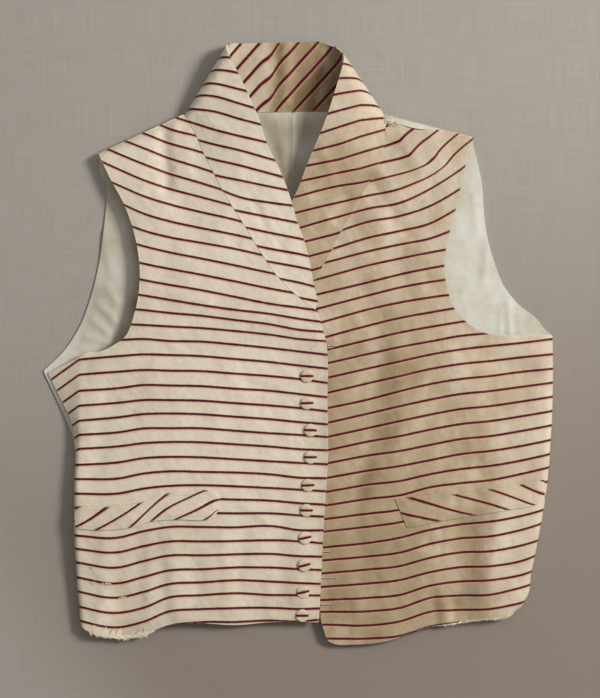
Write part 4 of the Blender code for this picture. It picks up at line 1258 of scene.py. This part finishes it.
def pull_down(bm, is_right):
    """Crowds the mesh where the cloth rolls down at its side and shoulder, so that it stays even."""
    plan = plan_of(bm)
    x, y = plan[:, 0], plan[:, 1]
    side, sign = (RIGHT_SIDE, 1) if is_right else (LEFT_SIDE, -1)
    roundness = share_of(read(side, 3, y))
    width = read(side, 2, y)
    crowd = np.maximum(width, CROWD_REACH)
    share = share_of((x - read(side, 1, y)) * sign / crowd)
    on_roll = (y < ROLL_TOP_Y) & (share < 1)
    x = np.where(on_roll, x + sign * crowd * roundness * (share**CROWD_POWER - share), x)
    line = RIGHT_SHOULDER if is_right else LEFT_SHOULDER
    reach = SHOULDER_REACH
    away = from_line(x, y, line)
    fold = Fold(line, (0, 0))
    moved = reach * (1 - np.cos(share_of(away / reach) * math.pi / 2)) - np.minimum(away, reach)
    high = (y > SHOULDER_CROWD_Y) & (away < reach)
    x = np.where(high, x + fold.inward[0] * moved, x)
    y = np.where(high, y + fold.inward[1] * moved, y)
    return x, y


def tones(x, y, is_right):
    """How yellow the silk is, from 0 to 1: the left front more, towards its hem and its front edge."""
    if is_right:
        return 0.15 + 0.14 * share_of((-y - 120) / 150)
    return 0.53 + 0.50 * share_of((150 - y) / 350) * np.clip((205 - x) / 90, -0.15, 1)


def front_stripes(x, y, is_right):
    """Stripe place and spacing on a front; the side facet's stripes lean back."""
    if is_right:
        facet = (x < FACET_X) & (y > FACET_Y)
        plan = np.stack([
            np.where(facet, FACET_X, x), np.where(facet, y + FACET_LEAN * (FACET_X - x), y),
        ], axis=1)
        return chart_both(plan, RIGHT_CHART_X, RIGHT_CHART)
    dart_x = DART_TOP[0] + (DART_TOP[1] - y) * (DART_END[0] - DART_TOP[0]) / (DART_TOP[1] - DART_END[1])
    shift = (np.clip(dart_x, DART_TOP[0], DART_END[0]) - DART_COLUMN) * share_of((y - DART_FADE) / 20)
    moved = x - shift * np.exp(-(((x - DART_COLUMN - shift) / DART_REACH) ** 2))
    return chart_both(np.stack([moved, y], axis=1), LEFT_CHART_X, LEFT_CHART)


def make_front(name, node, edges, is_right):
    border = join(edges)
    bm = cut_from_grid(border, CLOTH_CELL)
    edge = rim_distance(border, plan_of(bm))
    x, y = pull_down(bm, is_right)
    place_points(bm, np.stack([x, y, worn_face(x, y, is_right)], axis=1))
    stripe, gap = front_stripes(x, y, is_right)
    area = cloth_area(bm)
    piece = finish_mesh(bm, name, [silk, cotton], {
        "stripe": stripe, "stripe_spacing": gap, "stain": stains(x, y, evened=0.6),
        "tone": tones(x, y, is_right), "edge": edge,
    })
    give_wall(piece, inner_material=1)
    dress(piece, node)
    print(node, round(area, 4), "square metres,", len(piece.data.polygons), "faces")


make_front("right_front_of_striped_silk", "right_front", right_edges, True)
make_front("left_front_of_striped_silk", "left_front", left_edges, False)

# %% [markdown]
# ## Worn hem and shoulder
# Where the silk has worn through at the hem, its cotton lining shows as a ragged white band with
# fluff. A narrow strip with two uneven edges gives the band, and thin tapered fibres stand out of
# it. The same fibres make the fluff beside the collar and the glints of lining at small tears.

# %% Fringe
FRINGE_STEP = 0.7
# Stretches of hem: first x, last x, how far the band reaches in, and out
RIGHT_FRINGE = (-215, -142, 8.5, 3.0)
LEFT_FRINGE = (138, 218, 1.2, 0.7)
FRINGE_FADE = 12  # how far from its ends the band has its whole width
FRINGE_PROUD = 0.45
FIBRES_A_MM = 3.0
FIBRE_FOOT = 0.6  # how deep a fibre stands in the cloth


def add_fibre(bm, foot, lean, length, width=0.22):
    """One tapered fibre, from just inside the cloth."""
    turn = Vector((0, 0, 1)).rotation_difference(lean).to_matrix().to_4x4()
    bmesh.ops.create_cone(
        bm, cap_ends=True, segments=4, radius1=width, radius2=width / 4, depth=length,
        matrix=Matrix.Translation(foot + lean * (length / 2 - FIBRE_FOOT)) @ turn,
    )


def finish_fluff(bm, name, wall=None):
    piece = finish_mesh(bm, name, [fluff], {})
    if wall:
        give_wall(piece, wall=wall)
    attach(piece, "root")


def make_fringe(name, hem, stretch, is_right, seed):
    first, last, inward, outward = stretch
    rand = random.Random(seed)
    line = curve(hem, FRINGE_STEP)
    line = line[(line[:, 0] > first) & (line[:, 0] < last)]
    line = line[np.argsort(line[:, 0])]
    way = np.gradient(line, axis=0)
    way /= np.linalg.norm(way, axis=1)[:, None]
    out = np.stack([way[:, 1], -way[:, 0]], axis=1)
    place = np.arange(len(line)) * FRINGE_STEP
    ends = share_of(np.minimum(place, place[-1] - place) / FRINGE_FADE)
    rough = []
    for lane in (0, 11):
        coarse = np.array([abs(noise.noise(Vector((s / 7.0, seed, lane)))) for s in place])
        fine = np.array([abs(noise.noise(Vector((s / 1.9, seed, lane + 3)))) for s in place])
        rough.append(0.25 + 1.3 * coarse + 0.8 * fine)
    low, high = -ends * inward * rough[0], ends * outward * rough[1]
    bm = bmesh.new()
    bmesh.ops.create_grid(bm, x_segments=len(line) - 1, y_segments=5, size=1.0)
    column = grid_line(bm, len(line))
    down = grid_down(bm)
    offset = low[column] + (high - low)[column] * down
    plan = line[column] + out[column] * offset[:, None]
    over = line[column] + out[column] * np.minimum(offset, 0)[:, None]
    z = front_face(over[:, 0], over[:, 1], is_right) + crumple(over[:, 0], over[:, 1]) * 0.5
    ripple = np.array([noise.noise(Vector((u / 2.2, v / 2.2, seed))) for u, v in plan])
    z = z + FRINGE_PROUD + 0.5 * ripple - 0.35 * np.maximum(offset, 0)
    place_points(bm, np.column_stack([plan, z]))
    for _ in range(int(FIBRES_A_MM * place[-1])):
        at = rand.randrange(len(line))
        if rand.random() > ends[at]:
            continue
        edge = high[at] if rand.random() < 0.6 else low[at]
        side = 1 if edge > 0 else -1
        lean = Vector((
            side * out[at, 0] + rand.uniform(-0.9, 0.9), side * out[at, 1], rand.uniform(-0.2, 0.35),
        )).normalized()
        spot = line[at] + out[at] * edge
        foot = Vector((spot[0], spot[1], float(z[column == at].mean()) + rand.uniform(0, 0.6)))
        add_fibre(bm, foot, lean, rand.uniform(0.9, 2.4))
    finish_fluff(bm, name, wall=0.25)
    print(name, len(line), "steps")


make_fringe("right_worn_hem", RIGHT_HEM, RIGHT_FRINGE, True, 3)
make_fringe("left_worn_hem", LEFT_HEM, LEFT_FRINGE, False, 8)

# %% Tufts: name, x, y, half length, half width, slope, fibres, height over the face, fibre width
TUFTS = [
    ("shoulder_fluff", 91.5, 223.0, 5.5, 3.4, -0.55, 240, 0.7, 0.55),
    ("first_tear", -206.0, -224.6, 1.6, 0.5, 0.0, 20, 0.25, 0.28),
    ("second_tear", -205.0, -239.6, 2.2, 0.6, 0.0, 26, 0.25, 0.28),
    ("third_tear", -191.0, -240.4, 4.0, 0.6, -0.1, 44, 0.25, 0.28),
    ("fourth_tear", -175.0, -254.6, 3.0, 0.5, 0.15, 30, 0.25, 0.28),
]


def make_tuft(name, x, y, half_length, half_width, slope, count, rise, width):
    """Short fibres scattered along a worn place."""
    rand = random.Random(count)
    bm = bmesh.new()
    is_right = x < 0
    for _ in range(count):
        along, across = rand.gauss(0, 0.5) * half_length, rand.gauss(0, 0.5) * half_width
        spot_x, spot_y = x + along - slope * across, y + across + slope * along
        spot = np.array([spot_x]), np.array([spot_y])
        foot = Vector((spot_x, spot_y, float(worn_face(*spot, is_right)[0]) + rise))
        lean = Vector((rand.uniform(-1, 1), 0.5 * rand.uniform(-1, 1), rand.uniform(0, 0.25)))
        add_fibre(bm, foot, lean.normalized(), rand.uniform(1.4, 3.0), width)
    finish_fluff(bm, name)


for row in TUFTS:
    make_tuft(*row)
print(len(TUFTS), "tufts")

# %% [markdown]
# ## Buttonholes
# The left front's buttonholes lie under the right front, but four of them reach out past its edge.
# Each is a slit with its lips oversewn: a deep maroon line, painted shade for the open slit, between two
# rows of short stitches.

# %% Buttonholes: x of the inner end, y, length, slope
BUTTONHOLES = [(26, -4, 9.5, 0.05), (22, -210, 10, 0.08), (21, -236, 18, 0.0), (20, -263, 16, 0.05)]
STITCH_PITCH = 0.55
LIP = 0.75  # how far the stitches lie from the slit's middle
FAR_FROM_EDGE = 9.0


def make_buttonholes():
    slit_shades, stitches = bmesh.new(), bmesh.new()
    for x, y, length, slope in BUTTONHOLES:
        for along in np.arange(0, length, STITCH_PITCH):
            spot_x, spot_y = x + along, y + slope * along
            spot = np.array([spot_x]), np.array([spot_y])
            z = float(front_face(*spot, False)[0] + crumple(*spot)[0])
            way = Vector((1, slope, 0)).normalized()
            add_fibre(slit_shades, Vector((spot_x, spot_y, z + 0.18)), way, 1.5, 0.45)
            for side in (-1, 1):
                foot = Vector((spot_x, spot_y + LIP * side, z + 0.08))
                add_fibre(stitches, foot, Vector((0.1, side, 0.05)).normalized(), 1.6, 0.26)
    # The slit's fibres take the silk's maroon stripe as painted shade in the opening.
    painted_slit_shade = all_over(
        len(slit_shades.verts), stripe=0.0, stripe_spacing=14.0, stain=0.0, tone=0.5, edge=FAR_FROM_EDGE,
    )
    slit_shade_piece = finish_mesh(slit_shades, "buttonhole_slit_shades", [silk], painted_slit_shade)
    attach(slit_shade_piece, "root")
    finish_fluff(stitches, "buttonhole_stitches")


make_buttonholes()
print(len(BUTTONHOLES), "buttonholes")

# %% [markdown]
# ## Pocket welts
# A welt is a folded strip, sewn over the pocket's slit. Its stripes run on the slant, because it
# was cut on another grain. It lies on the front, so its points are the front's own, moved out.

# %% Welts
WELT_STEP = 2.2
WELT_WIDTH = 26
WELT_END = 7.0  # this much of each end is sewn down flatter


def face_normals(x, y, is_right):
    """Unit normals of a front's face."""
    step = 0.5
    slope_x = (front_face(x + step, y, is_right) - front_face(x - step, y, is_right)) / (2 * step)
    slope_y = (front_face(x, y + step, is_right) - front_face(x, y - step, is_right)) / (2 * step)
    out = np.stack([-slope_x, -slope_y, np.ones_like(slope_x)], axis=1)
    return out / np.linalg.norm(out, axis=1)[:, None]


def make_welt(name, node, table, chart, is_right):
    table = np.array(table, float)
    top = curve(table[:, :2], WELT_STEP)
    count = len(top)
    length = np.linspace(0, 1, len(table))
    at = np.interp(top[:, 0], table[:, 0], length)
    bottom = np.stack([smooth(length, table[:, 2], at), smooth(length, table[:, 3], at)], axis=1)
    rows = round(float(np.hypot(*(top - bottom).T).max()) / WELT_STEP)
    bm = bmesh.new()
    bmesh.ops.create_grid(bm, x_segments=count - 1, y_segments=rows, size=1.0)
    column = grid_line(bm, count)
    down = grid_down(bm)
    plan = top[column] * (1 - down[:, None]) + bottom[column] * down[:, None]
    x, y = plan[:, 0], plan[:, 1]
    z = front_face(x, y, is_right) + crumple(x, y)
    from_end = np.minimum(column, count - 1 - column) * WELT_STEP
    edge = np.minimum(np.minimum(down, 1 - down) * WELT_WIDTH, from_end)
    ends = share_of(from_end / WELT_END)
    lift = SEAM_GAP + WALL * (0.35 + 0.65 * ends) + 0.5 * share_of(1 - down * 3) * ends
    points = np.stack([x, y, z], axis=1) + face_normals(x, y, is_right) * lift[:, None]
    place_points(bm, points)
    levels = np.stack([smooth(WELT_LEVELS, row, down) for row in chart], axis=-1)
    stripe = np.array([np.interp(u, row, np.arange(len(row))) for u, row in zip(x, levels)])
    area = cloth_area(bm)
    piece = finish_mesh(bm, name, [silk], {
        "stripe": stripe, "stripe_spacing": np.full(len(x), WELT_SPACING), "stain": stains(x, y),
        "tone": tones(x, y, is_right), "edge": edge,
    })
    give_wall(piece)
    dress(piece, node)
    print(node, round(area, 4), "square metres")


for side, table, chart in (("right", RIGHT_WELT, RIGHT_WELT_CHART), ("left", LEFT_WELT, LEFT_WELT_CHART)):
    name, node = f"{side}_welt_of_striped_silk", f"{side}_pocket_welt"
    make_welt(name, node, table, chart, side == "right")

# %% [markdown]
# ## Back
# The back is two halves of white cotton, sewn down the middle. It lies flat on the board, and at
# each shoulder a strip of it rolls up and over to meet the front. Its creases are listed one by one.

# %% Back halves
BACK_CREASES = [
    (-6, 226, -4, 168, 3.0, 2.2), (-14, 226, -10, 190, 2.5, 1.4), (-20, 222, -12, 172, 3, 1.4),
    (4, 226, 2, 190, 3, 1.0), (-200, 40, -184, 22, 4, 2.2), (-206, 24, -190, 8, 3.5, 2.0),
    (-212, 6, -190, 0, 4, 1.6), (-226, -12, -205, -4, 3.5, 1.4), (-192, 56, -182, 40, 3, 1.6),
    (-196, 110, -188, 70, 5, 1.2), (-190, 150, -180, 120, 4, 0.8), (211, 40, 213, 10, 3.0, 1.8),
    (205, 34, 203, 10, 2.5, 0.9), (190, 100, 186, 60, 4, 1.2), (176, 150, 180, 110, 4, 0.9),
    (236, 24, 225, 12, 3, 1.0), (221, 30, 222, 12, 2.5, 0.8), (-220, -4, -212, -9, 3, 1.0),
]
# Strokes of painted shade on the back: from x, y to x, y, half-width, strength. Those at the neck stand for
# the shade under the standing collar, those inside the right armhole for the shadow that the front's raised
# edge casts.
BACK_PAINTED_SHADE = [
    (-26, 215, 12, 215, 18, 0.44), (-12, 190, 0, 160, 16, 0.46), (-34, 226, -14, 176, 5, 0.25),
    (4, 226, 10, 200, 8, 0.08), (-196, 160, -190, 60, 22, 0.26), (-206, 40, -176, 0, 22, 0.26),
    (-176, 156, -160, 96, 9, 0.36),
    (-160, 96, -161, 38, 10, 0.42), (-161, 38, -178, 2, 9, 0.32), (222, 20, 250, 14, 9, 0.12),
]
HEM_END = (3, -6)  # how far the back's hem corner lies in from its side: right, left
NECK_SIDE = 1.2  # share of the seam gap by which the back keeps clear of the collar
NECK_ROOM = (3, 24)  # how far the back's neck curve keeps from its middle and left ends


def make_back(name, node, neck, line, is_right, seam_line, armhole, side):
    """One half of the back, with the strip that rolls over the shoulder."""
    lap = LAP if is_right else 0.0
    (x0, y0), (x1, y1) = line
    under = (BACK_SEAM_X, 0)
    outer_fold = Fold(line, under)
    start, stop = (tuple(outer_fold.place(np.array(s), np.array(WALL))) for s in (0.0, 1.0))
    fold = Fold((start, stop), under)
    x = np.linspace(x0 + (x1 - x0) * NECK_CORNER, x1 - (x1 - x0) * TIP_CORNER, 40)
    y = y0 + (y1 - y0) / (x1 - x0) * (x - x0)
    outer = (form(x, y) + lap) / 2
    inner = outer - WALL
    inset = from_line(x, read(seam_line, 1, x), line) if seam_line else np.zeros_like(x)
    over = np.arccos(share_of(1 - inset / outer)) + np.maximum(inset - outer, 0) / outer
    reach = inner * (math.pi / 2 + over) - FLAP_GAP
    flap = fold.place(fold.split(np.stack([x, y], axis=1))[0], inner - reach)
    seam_x = BACK_SEAM_X + (-BACK_SEAM_GAP / 2 if is_right else BACK_SEAM_GAP / 2)
    hem_end = (side[-1][0] + HEM_END[0 if is_right else 1], BACK_HEM_Y)
    border = join([
        curve([(seam_x, neck[0][1]), neck[0]]), neck, curve([tuple(neck[-1]), tuple(flap[0])]),
        flap, curve([tuple(flap[-1]), armhole[0]]), curve(armhole), curve(side),
        curve([side[-1], hem_end]), curve([hem_end, (seam_x, BACK_HEM_Y)]),
        curve([(seam_x, BACK_HEM_Y), (seam_x, neck[0][1])]),
    ])
    bm = cut_from_grid(border, BACK_CELL)
    plan = plan_of(bm)
    placed, height = fold.turn(plan, np.full(len(plan), WALL), lambda u, v: form(u, v) + lap - WALL)
    flat_part = plan[:, 1] < SHOULDER_Y
    placed = np.where(flat_part[:, None], plan, placed)
    height = np.where(flat_part, WALL, height)
    lying = share_of((3 - height) / 1.5)
    height = height + lying * np.maximum(folds(BACK_CREASES, placed[:, 0], placed[:, 1]), 0)
    place_points(bm, np.column_stack([placed, height]))
    area = cloth_area(bm)
    # Painted shade, under the standing collar and beside the front's raised armhole edge.
    painted_shade = stains(placed[:, 0], placed[:, 1], BACK_PAINTED_SHADE)
    piece = finish_mesh(bm, name, [cotton], {"stain": painted_shade})
    give_wall(piece)
    dress(piece, node)
    print(node, round(area, 4), "square metres")


lying_seam = seam[turn_rows[0]:turn_rows[-1] + 1]
lying_seam = lying_seam[lying_seam[:, 2] < COLLAR_SEAM_Z + 0.02][:, :2] - (0, NECK_SIDE * SEAM_GAP)
seam_at = lying_seam[:, 0]
right_neck = lying_seam[seam_at < BACK_SEAM_X - NECK_ROOM[0]][::-1]
left_neck = lying_seam[(seam_at > BACK_SEAM_X + NECK_ROOM[0]) & (seam_at < BACK_NECK_CUT[0] - NECK_ROOM[1])]
left_neck = np.concatenate([left_neck, [BACK_NECK_CUT]])
make_back(
    "right_back_of_cotton", "back_right", right_neck, RIGHT_SHOULDER, True,
    None, BACK_RIGHT_ARMHOLE, BACK_RIGHT_SIDE,
)
make_back(
    "left_back_of_cotton", "back_left", left_neck, LEFT_SHOULDER, False,
    LEFT_SHOULDER_SEAM, BACK_LEFT_ARMHOLE, BACK_LEFT_SIDE,
)

# %% [markdown]
# ## Buttons
# Ten flat moulds covered in the same silk, each with one stripe laid across its middle by the
# tailor. Half a section is spun full circle, which is how a turned mould is made too.

# %% Buttons
BUTTON_STEPS = 40
BUTTON_STRIPES = 13.8  # spacing, so that only one stripe shows on a button
SEWN_UP = 0.15  # more than the seam gap


def make_button(number, x, y, tilt):
    radius = BUTTON_DIAMETER / 2
    bm = bmesh.new()
    verts = [bm.verts.new((out * radius, 0, level * BUTTON_HEIGHT)) for out, level in BUTTON_SECTION]
    edges = [bm.edges.new(pair) for pair in zip(verts, verts[1:])]
    bmesh.ops.spin(
        bm, geom=verts + edges, cent=(0, 0, 0), axis=(0, 0, 1), dvec=(0, 0, 0),
        angle=2 * math.pi, steps=BUTTON_STEPS, use_merge=True, use_duplicate=False,
    )
    bmesh.ops.remove_doubles(bm, verts=bm.verts, dist=0.01)
    bmesh.ops.recalc_face_normals(bm, faces=bm.faces)
    turn = math.radians(tilt)
    local = plan_of(bm)
    stripe = (local[:, 1] * math.cos(turn) - local[:, 0] * math.sin(turn)) / BUTTON_STRIPES
    spot = np.array([float(x)]), np.array([float(y)])
    up = Vector(face_normals(*spot, True)[0])
    foot = Vector((x, y, float(front_face(*spot, True)[0]))) + up * (SEAM_GAP + SEWN_UP)
    level = Vector((0, 0, 1)).rotation_difference(up).to_matrix().to_4x4()
    bmesh.ops.transform(bm, matrix=Matrix.Translation(foot) @ level, verts=bm.verts)
    even = all_over(len(stripe), stripe_spacing=BUTTON_STRIPES, stain=0.06, tone=0.28, edge=FAR_FROM_EDGE)
    piece = finish_mesh(bm, f"covered_button_{number:02d}", [silk], {"stripe": stripe, **even})
    smoother = piece.modifiers.new("round", "SUBSURF")
    smoother.levels = 1
    smoother.render_levels = 1
    dress(piece, f"button_{number:02d}")


for number, (x, y, tilt) in enumerate(BUTTONS, 1):
    make_button(number, x, y, tilt)
print(len(BUTTONS), "buttons")

# %% [markdown]
# ## Board, light and camera
# The waistcoat lies on a pale board, lit softly from the picture's right, so its shadows fall to
# the left. The camera looks straight down from well above, where a sheet hardly shows perspective.

# %% Stage
BOARD_SIZE = 6.0
BOARD_TONE = (0.415, 0.395, 0.365, 1.0)
BOARD_THREAD = (0.345, 0.315, 0.28, 1.0)
BOARD_SHADED = (0.26, 0.215, 0.185, 1.0)
BOARD_PITCH = 2.1
BOARD_BELOW = 0.0003  # metres, so that the cloth never shares its face


def make_board():
    bm = bmesh.new()
    bmesh.ops.create_grid(bm, x_segments=1, y_segments=1, size=BOARD_SIZE / 2)
    bmesh.ops.translate(bm, verts=bm.verts, vec=(0, 0, -BOARD_BELOW))
    mesh = bpy.data.meshes.new("board")
    bm.to_mesh(mesh)
    bm.free()
    finish = Finish("pale board", {"Metallic": 0.0})
    at = finish.coordinates()
    x, y = finish.plan(at)
    level = finish.noise(finish.vector(x * 0.02, y * 0.9), 1.0, 2.0)
    upright = finish.noise(finish.vector(x * 0.9, y * 0.02, 5.0), 1.0, 2.0)
    tone = finish.mix((level + upright - 0.55).rise(0.1, 0.9) * 0.75, BOARD_TONE, BOARD_THREAD)
    # Painted shade: the board darkens towards the bottom, less in its bottom-left corner, as the light
    # falls off away from the top right.
    light_falloff_shade = (x * 0.35 - y).rise(-340, 390) * 0.82 - (0 - x - y).rise(430, 680) * 0.62
    tone = finish.mix(light_falloff_shade.rise(0, 1), tone, BOARD_SHADED)
    threads = (x * (2 * math.pi / BOARD_PITCH)).sine() * (y * (2 * math.pi / BOARD_PITCH)).sine()
    normal = finish.bump(threads + level + upright, 0.0002, 0.5)
    finish.feed(Base_Color=tone, Roughness=0.85 + finish.noise(at, 600, 2.0) * 0.08, Normal=normal)
    mesh.materials.append(finish.material)
    board = bpy.data.objects.new("board", mesh)
    bpy.context.scene.collection.objects.link(board)


def add_light(name, size, watts, place, colour):
    light = bpy.data.lights.new(name, "AREA")
    light.shape = "DISK"
    light.size = size
    light.energy = watts
    light.color = colour
    lamp = bpy.data.objects.new(name, light)
    lamp.location = place
    lamp.rotation_euler = (Vector((0, 0, 0)) - Vector(place)).to_track_quat("-Z", "Y").to_euler()
    bpy.context.scene.collection.objects.link(lamp)


make_board()
add_light("window", 0.95, 98, (2.45, 0.90, 2.20), (1.0, 0.965, 0.92))
add_light("sky", 2.4, 5, (0.2, 1.2, 2.2), (0.96, 0.98, 1.0))
world = bpy.data.worlds.new("room")
bpy.context.scene.world = world
world.use_nodes = True
background = world.node_tree.nodes["Background"].inputs
background[0].default_value = (1.0, 0.96, 0.90, 1.0)
background[1].default_value = 0.30
bpy.context.scene.view_settings.view_transform = "Standard"
print("board, two lights and a dim room")

# %% Camera
LENS = 120.0
SENSOR = 36.0
VIEW_LENGTH = 0.698
VIEW_MIDDLE = (0.002, -0.006)
VIEW_LEVEL = 0.012

camera_data = bpy.data.cameras.new("camera")
camera_data.lens = LENS
camera_data.sensor_width = SENSOR
camera = bpy.data.objects.new("camera", camera_data)
distance = VIEW_LENGTH * LENS / SENSOR
camera.location = (*VIEW_MIDDLE, VIEW_LEVEL + distance)
bpy.context.scene.collection.objects.link(camera)
bpy.context.scene.camera = camera
print("camera", [round(v, 3) for v in camera.location])
